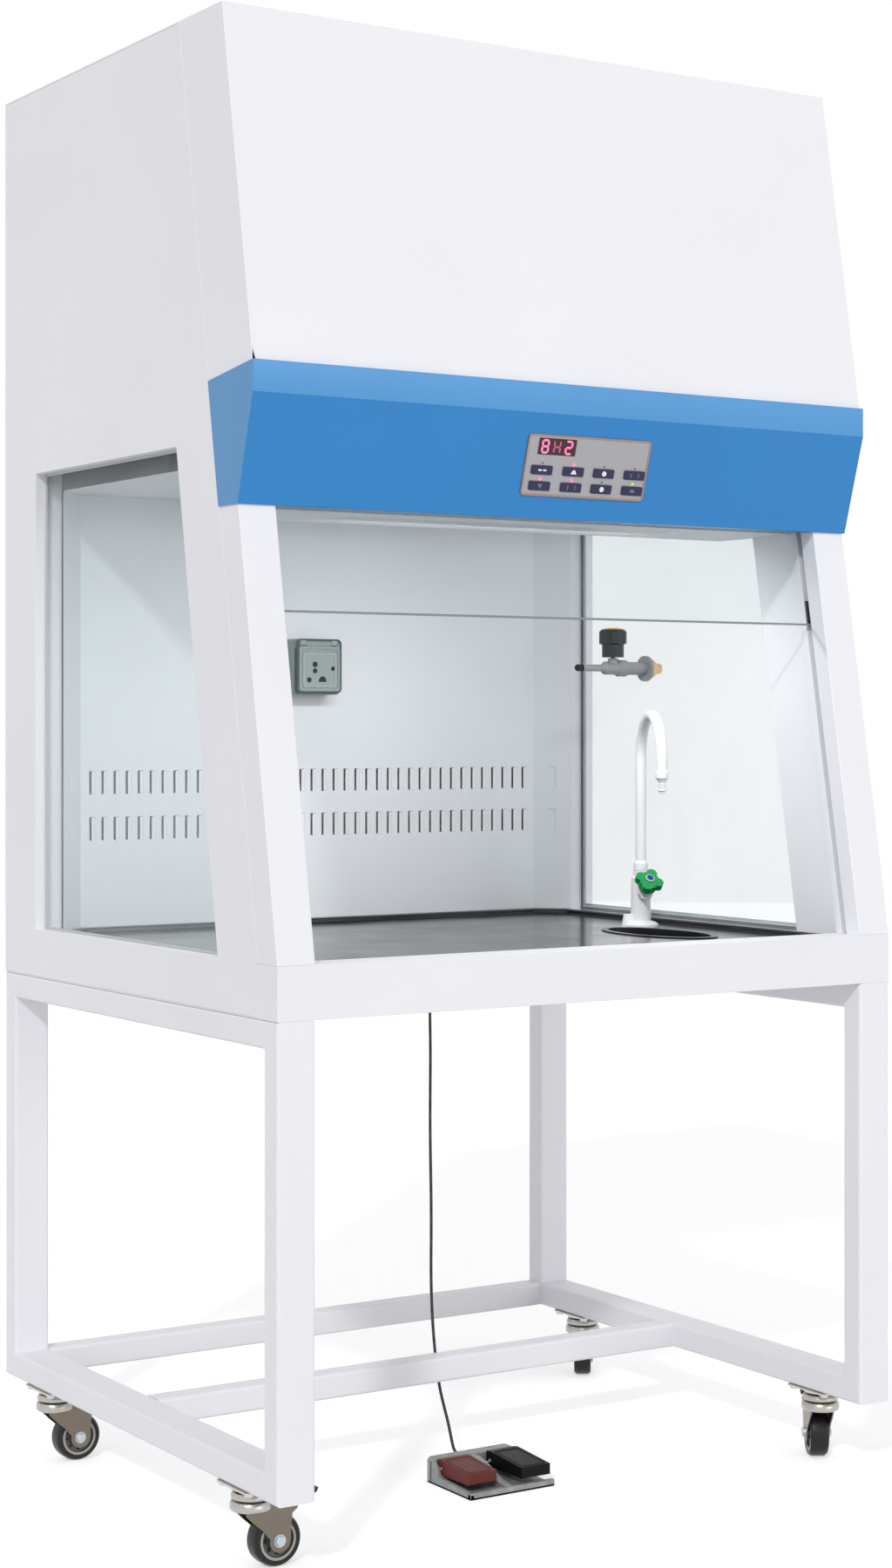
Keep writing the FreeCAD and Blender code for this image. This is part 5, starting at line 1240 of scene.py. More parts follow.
    def add_pedal(self, name: str, finish: bpy.types.Material, left: float, right: float,
                  front: float) -> None:
        """Wedge-shaped pedal with a raised border on its face and the end of its pin.

        Args:
            name: first word of the pedal's name.
            finish: its material.
            left: its left side.
            right: its right side.
            front: its front end.
        """
        back, knee = self.pedal_back, self.pedal_back - self.pedal_flat
        pedal = Shape(name + "_pedal_cover")
        pedal.prism([(front, self.pedal_low + 0.0015), (front, self.pedal_front_top), (knee, self.pedal_top),
                     (back, self.pedal_top - 0.0015), (back, self.pedal_low + 0.003),
                     (back - 0.02, self.pedal_low)],
                    left, right, SIDE_PLANE, finish)
        slope = math.atan2(self.pedal_top - self.pedal_front_top, knee - front)
        long = math.hypot(self.pedal_top - self.pedal_front_top, knee - front)
        face = Matrix.Translation(((left + right) / 2, (front + knee) / 2,
                                   (self.pedal_top + self.pedal_front_top) / 2)) @ Matrix.Rotation(slope,
                                                                                                   4, "X")
        half_wide, half_long = (right - left) / 2, long / 2
        pedal.frame_strip(rounded(half_wide - 0.0045, half_long - 0.0045, 0.003),
                          rounded(half_wide - 0.0070, half_long - 0.0070, 0.002), -0.0006, 0.0007, face,
                          finish)
        pedal.lathe([(0.0, -0.0004), (0.0032, -0.0004), (0.0032, 0.0008), (0.0024, 0.0014), (0.0, 0.0014)],
                    (left, self.hinge[0] - 0.004, self.hinge[1] + 0.003), (-1.0, 0.0, 0.0),
                    self.palette.zinc, 20)
        pedal.close(name + "_pedal", "pedal_" + name, edge=0.0018, stands_for=[name + "_pedal"])

    def add_cord(self) -> None:
        """The cord between the gland under the hood and the switch, with its rubber boot."""
        curve = bpy.data.curves.new("foot_switch_lead", "CURVE")
        curve.dimensions = "3D"
        curve.bevel_depth = self.cord_radius
        curve.bevel_resolution = 6
        curve.resolution_u = 16
        curve.use_fill_caps = True
        line = curve.splines.new("NURBS")
        line.points.add(len(self.ROUTE) - 1)
        for point, spot in zip(line.points, self.ROUTE):
            point.co = (*spot, 1.0)
        line.order_u = 3
        line.use_endpoint_u = True
        curve.materials.append(self.palette.sheath)
        lead = bpy.data.objects.new("foot_switch_lead", curve)
        bpy.context.scene.collection.objects.link(lead)
        settle(lead, "hood", ["foot_switch_cord"])
        boot = Shape("cord_boot")
        tip = self.cord_radius + 0.0006
        wide = self.boot_wide
        profile = [(tip - 0.0005, 0.0), (tip, 0.0)]
        for step in range(4):
            start = self.boot_long * (0.12 + 0.2 * step)
            radius = tip + (wide - tip) * (step + 1) / 4
            profile += [(radius - 0.0006, start), (radius, start + 0.0006), (radius, start + 0.0020),
                        (radius - 0.0006, start + 0.0026)]
        profile += [(wide, self.boot_long), (self.cord_radius - 0.0002, self.boot_long)]
        end = self.ROUTE[-1]
        boot.lathe(profile, (end[0], end[1] + self.boot_long, end[2]), (0.0, -1.0, 0.0),
                   self.palette.rubber, 32)
        sleeve = boot.close("hood", "cord_black")
        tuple(self.ROUTE[0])


@dataclass
class Stand:
    """Welded stand of painted tube."""

    frame: Frame
    palette: Palette
    patterns: Patterns

    def build(self) -> None:
        """Dress the stand."""
        for node in ("side_frames", "cross_rails"):
            self.frame.dress(node, self.palette.white, edge=0.0)


@dataclass
class Caster:
    """One plate caster with a braked swivel wheel."""

    frame: Frame
    palette: Palette
    patterns: Patterns
    corner: Corner
    crown_drop: float = 0.0262
    crown_wide: float = 0.0305
    cheek_in: float = 0.0162
    cheek_out: float = 0.0187
    trail: float = 0.036
    axle_up: float = 0.0375
    leg_round: float = 0.0168
    pin_spot: tuple[float, float] = (0.058, 0.0865)
    pin_edge: float = 0.0070
    pin_radius: float = 0.0029
    axle_radius: float = 0.0050
    roof_rise: float = 0.0052
    bridge_thick: float = 0.0025
    cheek_front: float = -0.0175
    cheek_drop: float = 0.0045
    hub_radius: float = 0.0285
    web_radius: float = 0.0246

    CROWN = ((0.0235, 0.0040), (0.0026, 0.0), (0.0006, 0.0018), (0.0, 0.0045), (0.0004, 0.0100),
             (0.0022, 0.0132),
             (0.0050, 0.0146), (0.0050, 0.0160), (0.0024, 0.0168), (0.0016, 0.0186), (0.0020, 0.0222),
             (0.0044, 0.0258), (0.0235, 0.0262))
    RACE_SHADOW = ((0.0056, 0.0145), (0.0044, 0.0145), (0.0044, 0.0161), (0.0056, 0.0161))
    CHEEK_SLOPE = ((-0.0040, 0.0665), (0.0085, 0.0555), (0.0160, 0.0465))
    CHEEK_BACK = ((0.0185, 0.0600), (0.0205, 0.0745))
    WASHER = ((0.0, -0.0005), (0.0095, -0.0005), (0.0095, 0.0008), (0.0, 0.0008))
    BOLT_HEAD = ((0.0, 0.0006), (0.0080, 0.0006), (0.0080, 0.0042), (0.0068, 0.0050), (0.0, 0.0050))

    @property
    def heading(self) -> Vector:
        """Direction from the swivel axis to the axle, seen from above."""
        turn = math.radians(self.corner.value[2])
        return Vector((math.cos(turn), math.sin(turn), 0.0))

    def build(self) -> None:
        """Dress the fork, wheel and brake, and add the fine pieces."""
        name = self.corner.name
        self.frame.dress(name + "_brake", self.palette.brake, edge=0.0004)
        self.frame.dress(name + "_wheel", self.palette.tyre, self.palette.hub, self.palette.hub_dark,
                         edge=0.0008,
                         pick=self.pick)
        self.add_fork()

    def add_fork(self) -> None:
        """Pressed fork: domed swivel head over its races, two round-ended cheeks, axle bolt and brake pin."""
        across, along, heading = self.corner.value
        place = Matrix.Translation((across, along, 0.0)) @ Matrix.Rotation(math.radians(heading), 4, "Z")
        upright = place @ FRONT_PLANE
        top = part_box(self.corner.name + "_fork")[1].z
        low, wide = top - self.crown_drop, self.crown_wide
        spot = tuple(place.translation)
        fork = Shape(self.corner.name + "_pressed_fork")
        fork.lathe([(wide - inset, low + rise) for inset, rise in self.CROWN], spot, UP,
                   self.palette.crown, 56)
        fork.lathe([(wide - inset, low + rise) for inset, rise in self.RACE_SHADOW], spot, UP,
                   self.palette.dark, 56)
        self.add_cheeks(fork, upright, low)
        self.add_bolts(fork, place)
        fork.close(self.corner.name + "_swivel", "zinc", edge=0.0004, stands_for=[self.corner.name + "_fork"])

    def add_cheeks(self, fork: Shape, upright: Matrix, low: float) -> None:
        """Two cheeks with a round end at the axle, and the bridge between them, in a darker copy of the
        fork's zinc that paints the shade under the swivel head.

        Args:
            fork: mesh of the fork.
            upright: plane of the cheeks.
            low: lower edge of the swivel head.
        """
        roof = low + self.roof_rise
        pin_along, pin_up = self.pin_spot
        cheek = [(self.cheek_front, roof), (self.cheek_front + 0.0003, low - self.cheek_drop),
                 *self.CHEEK_SLOPE]
        for step in range(13):
            angle = math.radians(165.0 + 195.0 * step / 12)
            cheek.append((self.trail + 0.0006 + self.leg_round * math.cos(angle),
                          self.axle_up + self.leg_round * math.sin(angle)))
        cheek += [(self.trail + away, level) for away, level in self.CHEEK_BACK]
        cheek += [(pin_along + self.pin_edge, pin_up - 0.0060), (pin_along + self.pin_edge, roof)]
        # The cheeks and bridge take the darker zinc: painted shade under the swivel head.
        for start, end in ((-self.cheek_out, -self.cheek_in), (self.cheek_in, self.cheek_out)):
            fork.prism(cheek, start, end, upright, self.palette.fork_leg_painted_shade)
        back, floor = pin_along - 0.002, roof - self.bridge_thick
        bridge = [(self.cheek_front, floor), (back, floor), (back, roof), (self.cheek_front, roof)]
        half = self.cheek_in + 0.0003
        fork.prism(bridge, -half, half, upright, self.palette.fork_leg_painted_shade)

    def add_bolts(self, fork: Shape, place: Matrix) -> None:
        """Axle with its washers and hexagon heads, and the pin of the brake.

        Args:
            fork: mesh of the fork.
            place: from the caster's coordinates to the model's.
        """
        turn = place.to_3x3()
        for sign in (-1.0, 1.0):
            start = tuple(place @ Vector((self.trail, sign * self.cheek_out, self.axle_up)))
            outward = tuple(turn @ Vector((0.0, sign, 0.0)))
            fork.lathe(self.WASHER, start, outward, self.palette.bolt, 28)
            fork.lathe(self.BOLT_HEAD, start, outward, self.palette.bolt, 6)
        pins = (((self.trail, self.axle_up), self.cheek_out, self.axle_radius),
                (self.pin_spot, self.cheek_out + 0.0012, self.pin_radius))
        for (ahead, level), reach, radius in pins:
            start = tuple(place @ Vector((ahead, -reach, level)))
            fork.lathe([(0.0, 0.0), (radius, 0.0), (radius, 2 * reach), (0.0, 2 * reach)], start,
                       tuple(turn @ Vector((0.0, 1.0, 0.0))), self.palette.bolt, 24)

    def axle(self) -> Vector:
        """Middle of the wheel."""
        low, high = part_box(self.corner.name + "_wheel")
        return (low + high) / 2

    def pick(self, middle: Vector) -> int:
        """Tyre, rim of the hub or its web.

        Args:
            middle: middle of a face.

        Returns:
            0 for the tyre, 1 for the rim and 2 for the web.
        """
        away = middle - self.axle_point
        along = Vector((-self.heading.y, self.heading.x, 0.0))
        radial = away - along * away.dot(along)
        if radial.length > self.hub_radius - 0.0004:
            return 0
        return 1 if radial.length > self.web_radius else 2

    def __post_init__(self) -> None:
        """Note the middle of the wheel."""
        self.axle_point = self.axle()


@dataclass
class ControlFascia:
    """Blue fascia with its control plate, display, keys and status lights."""

    frame: Frame
    palette: Palette
    patterns: Patterns
    middle: Point = (0.026, -0.3739, 1.5702)
    tilt: float = 106.49
    half_wide: float = 0.112
    half_high: float = 0.046
    corner: float = 0.006
    face: float = 0.0015
    key_face: float = 0.0039
    columns: tuple[float, ...] = (-0.081, -0.024, 0.032, 0.089)
    rows: tuple[float, ...] = (-0.007, -0.031)
    light_rise: float = 0.0105
    cheek_from: float = 0.5515
    bend: float = 1.6451
    band_back: float = -0.395
    window_low: tuple[float, float] = (-0.093, 0.016)
    window_high: tuple[float, float] = (-0.025, 0.041)

    ICONS = (Icon.PAIR, Icon.RISE, Icon.DOT, Icon.ARCS, Icon.DROP, Icon.BRACKETS, Icon.DOT, Icon.SQUARE)
    LIGHTS = (Lamp.OFF, Lamp.RED, Lamp.OFF, Lamp.OFF, Lamp.RED, Lamp.RED, Lamp.OFF, Lamp.GREEN)
    DIGITS = (("abcdefg", True), ("bcefg", False), ("abdeg", True))

    @property
    def plane(self) -> Matrix:
        """From the plate's own coordinates to the model's."""
        return Matrix.Translation(self.middle) @ Matrix.Rotation(math.radians(self.tilt), 4, "X")

    def build(self) -> None:
        """Dress the fascia and lay out the plate."""
        # The band and the cheeks get lighter blues of the one paint: painted sheen and painted light.
        self.frame.dress("control_fascia", self.palette.blue, self.palette.blue_band_painted_sheen, self.palette.blue_cheek_painted_light,
                         edge=0.001, pick=self.pick)
        self.frame.dress("control_plate", self.palette.plate, edge=0.0003)
        for index in range(len(self.ICONS)):
            self.frame.dress("key_%d" % (index + 1), self.palette.navy, edge=0.0003, merge=False)
            self.print_key(index)
        self.add_rim()
        self.add_display()
        self.add_lights()

    def pick(self, middle: Vector) -> int:
        """Leaning face, upright band above its bend, or cheek; the band and the cheeks take lighter copies of
        the same blue, painted sheen and painted light.

        Args:
            middle: middle of a face.

        Returns:
            Index of the finish.
        """
        if abs(middle.x) > self.cheek_from:
            return 2
        return 1 if middle.z > self.bend and middle.y < self.band_back else 0

    def add_rim(self) -> None:
        """Copper-coloured edge of the plate."""
        rim = Shape("control_plate_rim")
        outer = rounded(self.half_wide + 0.0004, self.half_high + 0.0004, self.corner)
        inner = rounded(self.half_wide - 0.0026, self.half_high - 0.0026, self.corner - 0.002)
        rim.frame_strip(outer, inner, 0.0001, self.face + 0.0006, self.plane, self.palette.copper)
        rim.close("hood", "control_steel", edge=0.0003)

    def add_display(self) -> None:
        """Display window with three seven-segment digits."""
        low_x, low_y = self.window_low
        high_x, high_y = self.window_high
        middle = Matrix.Translation(((low_x + high_x) / 2, (low_y + high_y) / 2, 0.0))
        half_wide, half_high = (high_x - low_x) / 2, (high_y - low_y) / 2
        lens = Shape("display_lens")
        lens.prism(rounded(half_wide - 0.0001, half_high - 0.0001, 0.002), 0.0004, 0.0014,
                   self.plane @ middle,
                   self.palette.lens)
        lens.close("hood", edge=0.0002)
        digits = Shape("display_digits")
        step = (high_x - low_x) * 0.312
        for index, (segments, bright) in enumerate(self.DIGITS):
            at = Matrix.Translation(((low_x + high_x) / 2 + (index - 1.02) * step, (low_y + high_y) / 2, 0.0))
            finish = self.palette.segment_lit if bright else self.palette.segment_dim
            self.draw_digit(digits, segments, self.plane @ at, finish)
        digits.close("hood")

    @staticmethod
    def draw_digit(shape: Shape, segments: str, frame: Matrix, finish: bpy.types.Material) -> None:
        """Add the lit segments of one digit.

        Args:
            shape: mesh that takes them.
            segments: letters of the lit segments.
            frame: place of the digit.
            finish: its material.
        """
        wide, high, stroke = 0.0105, 0.0185, 0.0030
        half = {"a": (0, high / 2, 0), "g": (0, 0, 0), "d": (0, -high / 2, 0), "b": (wide / 2, high / 4, 1),
                "c": (wide / 2, -high / 4, 1), "e": (-wide / 2, -high / 4, 1), "f": (-wide / 2, high / 4, 1)}
        for letter in segments:
            x, y, upright = half[letter]
            length = (high / 2 if upright else wide) - stroke * 0.25
            outline = [(-length / 2, 0.0), (-length / 2 + stroke / 2, -stroke / 2),
                       (length / 2 - stroke / 2, -stroke / 2), (length / 2, 0.0),
                       (length / 2 - stroke / 2, stroke / 2), (-length / 2 + stroke / 2, stroke / 2)]
            turn = Matrix.Rotation(math.pi / 2, 4, "Z") if upright else Matrix.Identity(4)
            shape.prism(outline, 0.00142, 0.00165, frame @ Matrix.Translation((x, y, 0.0)) @ turn, finish)

    def add_lights(self) -> None:
        """Status lights above the keys."""
        shape = Shape("status_lights")
        finishes = {Lamp.OFF: self.palette.light_off, Lamp.RED: self.palette.light_red,
                    Lamp.GREEN: self.palette.light_green}
        for index, state in enumerate(self.LIGHTS):
            x = self.columns[index % 4]
            y = self.rows[index // 4] + self.light_rise
            radius = 0.0014 if state is Lamp.OFF else 0.0026
            frame = self.plane @ Matrix.Translation((x, y, 0.0))
            shape.prism(circle(radius, steps=20), self.face - 0.0006, self.face + 0.0009, frame,
                        finishes[state])
        shape.close("hood", edge=0.0004)

    def print_key(self, index: int) -> None:
        """Print the icon on a key.

        Args:
            index: number of the key from 0.
        """
        icon = self.ICONS[index]
        at = Matrix.Translation((self.columns[index % 4], self.rows[index // 4], 0.0))
        frame = self.plane @ at
        plain, faint = self.palette.print_white, self.palette.print_faint
        low, high = self.key_face - 0.0001, self.key_face + 0.00012
        shape = Shape("key_%d_icon" % (index + 1))
        if icon is Icon.DOT:
            shape.prism(circle(0.0040, steps=28), low, high, frame, plain)
        elif icon is Icon.RISE:
            shape.prism([(-0.0055, -0.0035), (0.0055, -0.0035), (0.0018, 0.0028), (-0.0018, 0.0028)], low,
                        high,
                        frame, plain)
        elif icon is Icon.PAIR:
            for middle in (-0.0042, 0.0042):
                bar = [(middle + x, y) for x, y in rounded(0.0032, 0.0013, 0.0012, 4)]
                shape.prism(bar, low, high, frame, plain)
        elif icon is Icon.DROP:
            shape.prism([(-0.0045, 0.0032), (0.0, -0.0042), (0.0045, 0.0032)], low, high, frame, faint)
        elif icon is Icon.SQUARE:
            shape.prism(rounded(0.0042, 0.0024, 0.001, 4), low, high, frame, faint)
        elif icon is Icon.ARCS:
            for turn in (0.0, math.pi):
                outer = [(0.0085 * math.cos(turn + a / 10),
                          0.0045 * math.sin(turn + a / 10)) for a in range(-9, 10)]
                inner = [(0.0068 * math.cos(turn + a / 10),
                          0.0033 * math.sin(turn + a / 10)) for a in range(9, -10, -1)]
                shape.prism(outer + inner, low, high, frame, faint)
        else:
            for middle in (-0.0065, 0.0065):
                shape.prism([(middle + x, y) for x, y in rounded(0.0009, 0.0040, 0.0008, 3)], low, high,
                            frame, faint)
        shape.close("key_%d" % (index + 1), "key_navy")


@dataclass
class HoodShell:
    """Painted outside of the hood with its windows."""

    frame: Frame
    palette: Palette
    patterns: Patterns
    pane_out: float = 0.530
    strip: float = 0.004
    opening: tuple[tuple[float, float], ...] = ((0.340, 0.857), (0.340, 1.588), (-0.157, 1.588),
                                                (-0.286, 0.857))
    side_face: float = 0.550
    seam_line: tuple[tuple[float, float], tuple[float, float]] = ((-0.4033, 0.857), (-0.1655, 2.2045))
    seam_wide: float = 0.0030
    seam_high: float = 0.0009
    skirt_line: tuple[tuple[float, float], tuple[float, float]] = ((-0.3856, 1.7155), (-0.3902, 1.6895))
    skirt_side: tuple[tuple[float, float], ...] = ((-0.3852, 1.7160), (-0.3862, 1.6897), (-0.2560, 1.6733),
                                                  (-0.2560, 1.7160))
    skirt_notch: float = 0.005
    skirt_thick: float = 0.0018
    rear_face: float = 0.460
    screw_across: float = 0.536
    screw_radius: float = 0.0042
    screw_height: float = 0.0024
    screw_low: float = 1.0895
    screw_pitch: float = 0.3652

    def build(self) -> None:
        """Dress the shell and add its gaskets and screws."""
        for node in ("rear_panel", "top_panel", "front_cover", "base_pan"):
            self.frame.dress(node, self.palette.white, edge=0.001)
        for node in ("left_outer_panel", "right_outer_panel", "left_post", "right_post"):
            self.frame.dress(node, self.palette.white, edge=0.001, merge=False)
        self.frame.dress("window_glass", self.palette.window, flat=True)
        for side in Side:
            self.add_gasket(side)
            self.add_seam(side)
        self.add_screws()
        self.add_skirt()

    def add_seam(self, side: Side) -> None:
        """Filled seam between the side sheet and the front of the hood.

        Args:
            side: side of the hood.
        """
        bead = Shape("%s_side_seam" % side.name.lower())
        half = self.seam_wide / 2
        (low_y, low_z), (high_y, high_z) = self.seam_line
        outline = [(low_y - half, low_z), (low_y + half, low_z),
                   (high_y + half, high_z), (high_y - half, high_z)]
        start = side.value * self.side_face
        levels = sorted((start - side.value * 0.0002, start + side.value * self.seam_high))
        bead.prism(outline, levels[0], levels[1], SIDE_PLANE, self.palette.white)
        bead.close("hood", "white_coat", edge=0.0003)

    def add_skirt(self) -> None:
        """Bottom edge of the upper cover, which runs on in its own plane down to the fascia."""
        (top_y, top_z), (low_y, low_z) = self.skirt_line
        half, short = self.side_face, self.side_face - self.skirt_notch
        skirt = Shape("cover_skirt")
        index = skirt.finish(self.palette.white)
        rows = []
        for y, z, left in ((top_y, top_z, half), (low_y, low_z, short)):
            rows.append([skirt.mesh.verts.new((-left, y, z)), skirt.mesh.verts.new((half, y, z)),
                         skirt.mesh.verts.new((half, y + self.skirt_thick, z)),
                         skirt.mesh.verts.new((-left, y + self.skirt_thick, z))])
        top, low = rows
        faces = [top, list(reversed(low))]
        for step in range(4):
            after = (step + 1) % 4
            faces.append([top[step], low[step], low[after], top[after]])
        for corners in faces:
            skirt.mesh.faces.new(corners).material_index = index
        for side in Side:
            levels = sorted((side.value * (half - self.skirt_thick), side.value * (half + 0.0002)))
            skirt.prism(self.skirt_side, levels[0], levels[1], SIDE_PLANE, self.palette.white)
        skirt.close("hood", "white_coat")

    def add_gasket(self, side: Side) -> None:
        """Seal between a window pane and the edge of its opening.

        Args:
            side: side of the hood.
        """
        outer = [(y, z) for y, z in self.opening]
        middle_y = sum(y for y, _ in outer) / len(outer)
        middle_z = sum(z for _, z in outer) / len(outer)
        inner = []
        for y, z in outer:
            inner.append((y - math.copysign(self.strip, y - middle_y),
                          z - math.copysign(self.strip, z - middle_z)))
        seal = Shape("%s_window_seal" % side.name.lower())
        start = side.value * self.pane_out
        seal.frame_strip(outer, inner, start, start + side.value * 0.003, SIDE_PLANE, self.palette.gasket)
        seal.close("hood", edge=0.0006)

    def add_screws(self) -> None:
        """Rows of screws along the rear edges of the hood."""
        runs = []
        for side in Side:
            runs.append({"Start": (side.value * self.screw_across,
                                   self.rear_face + self.screw_height / 2 - 0.0002,
                                   self.screw_low - self.screw_pitch / 2),
                         "Pitch": (0.0, 0.0, self.screw_pitch),
                         "Count": 4, "Outward": (0.0, 1.0, 0.0), "Head Radius": self.screw_radius,
                         "Head Height": self.screw_height, "Finish": self.palette.zinc})
        self.patterns.screws.bake("rear_panel_screws", runs, "hood", "zinc")


@dataclass
class WorkChamber:
    """Inside of the hood: liner, worktop, sink, lamp and filters."""

    frame: Frame
    palette: Palette
    patterns: Patterns
    baffle_face: float = 0.385
    slots: int = 40
    slot_pitch: float = 0.022
    slot_wide: float = 0.010
    slot_high: float = 0.038
    slot_rows: tuple[float, float] = (0.995, 1.071)
    wing_middle: tuple[float, float] = (0.475, 0.3643)
    wing_turn: float = 0.7328
    wing_slot: float = 0.0132
    tab_gap: float = 0.0050
    tab_set: float = 0.0022
    tab_thick: float = 0.0010

    def build(self) -> None:
        """Dress the chamber."""
        for node in ("rear_baffle", "ceiling_panel", "front_bulkhead"):
            self.frame.dress(node, self.palette.liner)
        self.frame.dress("inner_side_panels", self.palette.white)
        self.frame.dress("worktop", self.palette.stone, edge=0.0015)
        self.frame.dress("sink_cup", self.palette.sink, edge=0.001)
        self.frame.dress("lamp", self.palette.opal)
        self.frame.dress("prefilter", self.palette.card, edge=0.0)
        self.frame.dress("carbon_filter", self.palette.carbon, edge=0.0)
        for node in ("blower_housing", "blower_impeller", "sash_drive_motor", "sash_drum_shaft"):
            self.frame.dress(node, self.palette.steel, edge=0.0)
        self.frame.dress("caster_plates", self.palette.zinc)
        self.add_tabs()

    def add_tabs(self) -> None:
        """Pressed tabs that leave a narrow gap at the left of each slot in the baffle, in a lighter copy of
        the liner paint as painted light.
        """
        runs = []
        across = self.slot_wide - self.tab_gap
        turn = math.atan2(self.tab_set, across)
        for low in self.slot_rows:
            start = (-(self.slots - 1) / 2 * self.slot_pitch + self.tab_gap / 2,
                     self.baffle_face + self.tab_thick / 2 + self.tab_set / 2, low + self.slot_high / 2)
            runs.append({"Start": start, "Pitch": (self.slot_pitch, 0.0, 0.0), "Count": self.slots,
                         "Tab Size": (across, self.tab_thick, self.slot_high - 0.0006),
                         "Tab Turn": Euler((0.0, 0.0, -turn)), "Finish": self.palette.tab})
        # The left wing tabs take the lighter tab paint and the right ones the liner: painted light on the
        # side that faces the lamps.
        for side, finish in ((Side.LEFT, self.palette.tab), (Side.RIGHT, self.palette.liner)):
            for low in self.slot_rows:
                start = (side.value * self.wing_middle[0], self.wing_middle[1], low + self.slot_high / 2)
                runs.append({"Start": start, "Pitch": (0.0, 0.0, 0.0), "Count": 1,
                             "Tab Size": (self.wing_slot, self.tab_thick, self.slot_high - 0.0006),
                             "Tab Turn": Euler((0.0, 0.0, -side.value * self.wing_turn)), "Finish": finish})
        self.patterns.tabs.bake("baffle_tabs", runs, "hood", smooth=30.0)


@dataclass
class Sash:
    """Sliding glass with its corner clips."""

    frame: Frame
    palette: Palette
    patterns: Patterns
    clip_from: float = 0.4919
    clip_low: float = 1.3845
    clip_high: float = 1.9765
    edge_below: float = 1.3442
    edge_half: float = 0.4915
    edge_high: float = 0.0030
    edge_thick: float = 0.0008
    edge_spot: Point = (0.0, -0.33945, 1.3440)
    edge_lean: tuple[float, float] = (-0.0071, 0.04)

    def build(self) -> None:
        """Dress the sash."""
        self.frame.dress("sash_glass", self.palette.sash, self.palette.rubber, self.palette.glass_edge,
                         pick=self.pick, flat=True)
        self.add_lower_edge()

    def add_lower_edge(self) -> None:
        """Dark line of the ground lower edge along the front of the glass."""
        edge = Shape("sash_lower_edge")
        lean = Matrix.Rotation(math.atan2(*self.edge_lean), 4, "X")
        edge.prism([(-self.edge_half, 0.0), (self.edge_half, 0.0), (self.edge_half, self.edge_high),
                    (-self.edge_half, self.edge_high)], 0.0, self.edge_thick,
                   Matrix.Translation(self.edge_spot) @ lean @ Matrix.Rotation(math.pi / 2, 4, "X"),
                   self.palette.glass_edge)
        edge.close("sash", "window")

    def pick(self, middle: Vector) -> int:
        """Glass or clip.

        Args:
            middle: middle of a face.

        Returns:
            0 for the glass, 1 for a clip and 2 for the ground lower edge.
        """
        in_clip = middle.z < self.clip_low or middle.z > self.clip_high
        if abs(middle.x) > self.clip_from and in_clip:
            return 1
        return 2 if middle.z < self.edge_below else 0


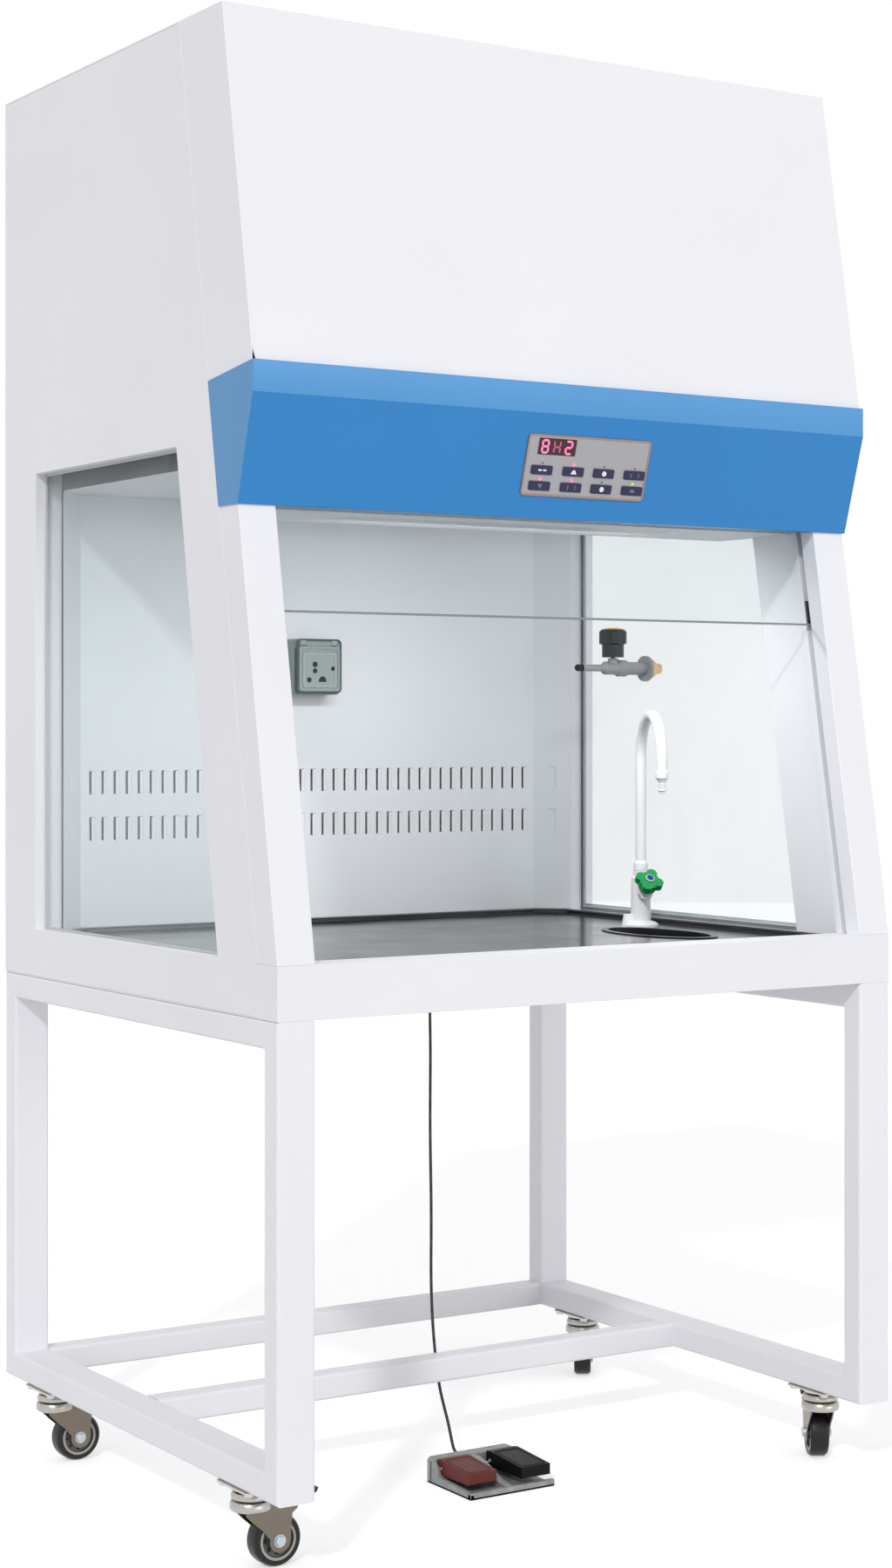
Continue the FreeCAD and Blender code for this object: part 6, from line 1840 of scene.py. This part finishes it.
@dataclass
class Services:
    """Gas valve, tap and socket."""

    frame: Frame
    palette: Palette
    patterns: Patterns
    round_holes: tuple[tuple[float, float, float], ...] = (
        (-0.009, 0.0030, 0.0050), (-0.009, -0.0080, 0.0044), (0.0262, -0.0040, 0.0038),
                                                           (-0.0205, -0.0235, 0.0046))
    flat_holes: tuple[tuple[tuple[float, float], ...], ...] = (
        ((-0.0025, -0.0270), (0.0135, -0.0270), (0.0115, -0.0190), (0.0055, -0.0170), (0.0005, -0.0190)),)
    insert_drop: float = 0.0065
    rim_drop: float = 0.0050
    nut_from: float = 0.5301
    cap_end: float = 0.387

    def build(self) -> None:
        """Dress the services and add their fine pieces."""
        self.frame.dress("gas_valve", self.palette.valve_grey, self.palette.brass, self.palette.rubber,
                         edge=0.0004,
                         pick=self.pick_valve)
        self.frame.dress("gas_valve_knob", self.palette.knob, edge=0.0)
        self.frame.dress("faucet_body", self.palette.tap_white)
        self.frame.dress("faucet_neck", self.palette.tap_white)
        self.frame.dress("faucet_knob", self.palette.green, edge=0.0)
        self.frame.dress("socket_box", self.palette.socket, edge=0.0008)
        self.frame.dress("socket_cover", self.palette.socket_cover, edge=0.0008)
        self.add_gas_disc()
        self.add_tap_cap()
        self.add_socket_face()

    def add_socket_face(self) -> None:
        """Raised frame, insert and pin holes of the socket, with a lighter insert border as a painted
        highlight, dark discs as painted shade in the holes and a dark ring as a painted shadow round the
        cover.
        """
        low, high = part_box("socket_cover")
        half_wide, half_high = (high.x - low.x) / 2, (high.z - low.z) / 2
        spot = Vector(((low.x + high.x) / 2, low.y, (low.z + high.z) / 2))
        plane = Matrix.Translation(spot) @ Matrix.Rotation(math.pi / 2, 4, "X")
        rim = Shape("socket_frame")
        border = plane @ Matrix.Translation((0.0, -self.rim_drop, 0.0))
        rim_high = half_high - self.rim_drop - 0.0006
        rim.frame_strip(rounded(half_wide - 0.0006, rim_high, 0.0065),
                        rounded(half_wide - 0.0040, rim_high - 0.0034, 0.0045), -0.0002, 0.0012, border,
                        self.palette.socket)
        lower = plane @ Matrix.Translation((0.0, -self.insert_drop, 0.0))
        insert_high = half_high - self.insert_drop - 0.0085
        # The insert's border takes the lighter plastic: a painted highlight on its bevel.
        rim.frame_strip(rounded(half_wide - 0.0080, insert_high, 0.0045),
                        rounded(half_wide - 0.0102, insert_high - 0.0022, 0.0032), -0.0002, 0.0014, lower,
                        self.palette.socket_painted_highlight)
        rim.prism(rounded(half_wide - 0.0104, insert_high - 0.0024, 0.0030), -0.0002, 0.0005, lower,
                  self.palette.socket)
        rim.close("socket_cover", "socket_grey", edge=0.0003)
        # Dark discs in place of open holes: painted shade inside the pin holes.
        holes = Shape("socket_holes")
        for across, up, radius in self.round_holes:
            holes.prism(circle(radius, (across, up), 20), 0.0003, 0.0007, plane, self.palette.dark)
        for outline in self.flat_holes:
            holes.prism(outline, 0.0003, 0.0007, plane, self.palette.dark)
        holes.close("socket_cover")
        # Dark ring round the cover: painted shadow of the gap between the cover and the box.
        shade = Shape("socket_seal")
        shade.frame_strip(rounded(half_wide + 0.0037, half_high + 0.0030, 0.0090),
                          rounded(half_wide + 0.0004, half_high + 0.0004, 0.0065), -0.0030, -0.0003, plane,
                          self.palette.socket_shadow_paint)
        shade.close("hood", edge=0.0004)

    def pick_valve(self, middle: Vector) -> int:
        """Grey body, brass shank or black outlet cap.

        Args:
            middle: middle of a face.

        Returns:
            Index of the finish.
        """
        if middle.x > self.nut_from:
            return 1
        return 2 if middle.x < self.cap_end else 0

    def add_gas_disc(self) -> None:
        """Yellow disc in the top of the gas knob."""
        low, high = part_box("gas_valve_knob")
        spot = ((low.x + high.x) / 2, (low.y + high.y) / 2, high.z)
        disc = Shape("gas_knob_disc")
        disc.lathe([(0.0, -0.001), (0.0185, -0.001), (0.0185, 0.0006), (0.0165, 0.0016), (0.009, 0.0032),
                    (0.0, 0.0036)], spot, (0.0, 0.0, 1.0), self.palette.yellow)
        disc.close("gas_knob", "knob_dark")

    def add_tap_cap(self) -> None:
        """Blue cap with a pale ring in the face of the tap knob."""
        axis = (Vector((-0.31, -0.95, 0.0)).normalized() + Vector((0.0, 0.0, 1.0))).normalized()
        root = Vector((0.403, -0.004, 0.844 + 0.058)) + Vector((-0.31, -0.95, 0.0)).normalized() * 0.022
        face = root + axis * (0.015 + 0.0235)
        cap = Shape("tap_knob_cap")
        cap.lathe([(0.0, -0.0005), (0.0078, -0.0005), (0.0078, 0.0006), (0.0066, 0.0012), (0.0, 0.0012)],
                  tuple(face), tuple(axis), self.palette.cap_ring, 32)
        cap.lathe([(0.0, 0.0008), (0.0056, 0.0008), (0.0056, 0.0017), (0.0046, 0.0023), (0.0, 0.0024)],
                  tuple(face), tuple(axis), self.palette.cap_blue, 32)
        cap.close("tap_knob", "knob_green")


def main() -> None:
    """Build the scene."""
    logging.basicConfig(level=logging.INFO, format="%(name)s: %(message)s")
    frame = Frame()
    palette = Palette()
    patterns = Patterns()
    Studio().build()
    FootSwitch(frame, palette, patterns).build()
    Stand(frame, palette, patterns).build()
    for corner in Corner:
        Caster(frame, palette, patterns, corner).build()
    HoodShell(frame, palette, patterns).build()
    WorkChamber(frame, palette, patterns).build()
    Sash(frame, palette, patterns).build()
    ControlFascia(frame, palette, patterns).build()
    Services(frame, palette, patterns).build()


if __name__ == "__main__":
    main()
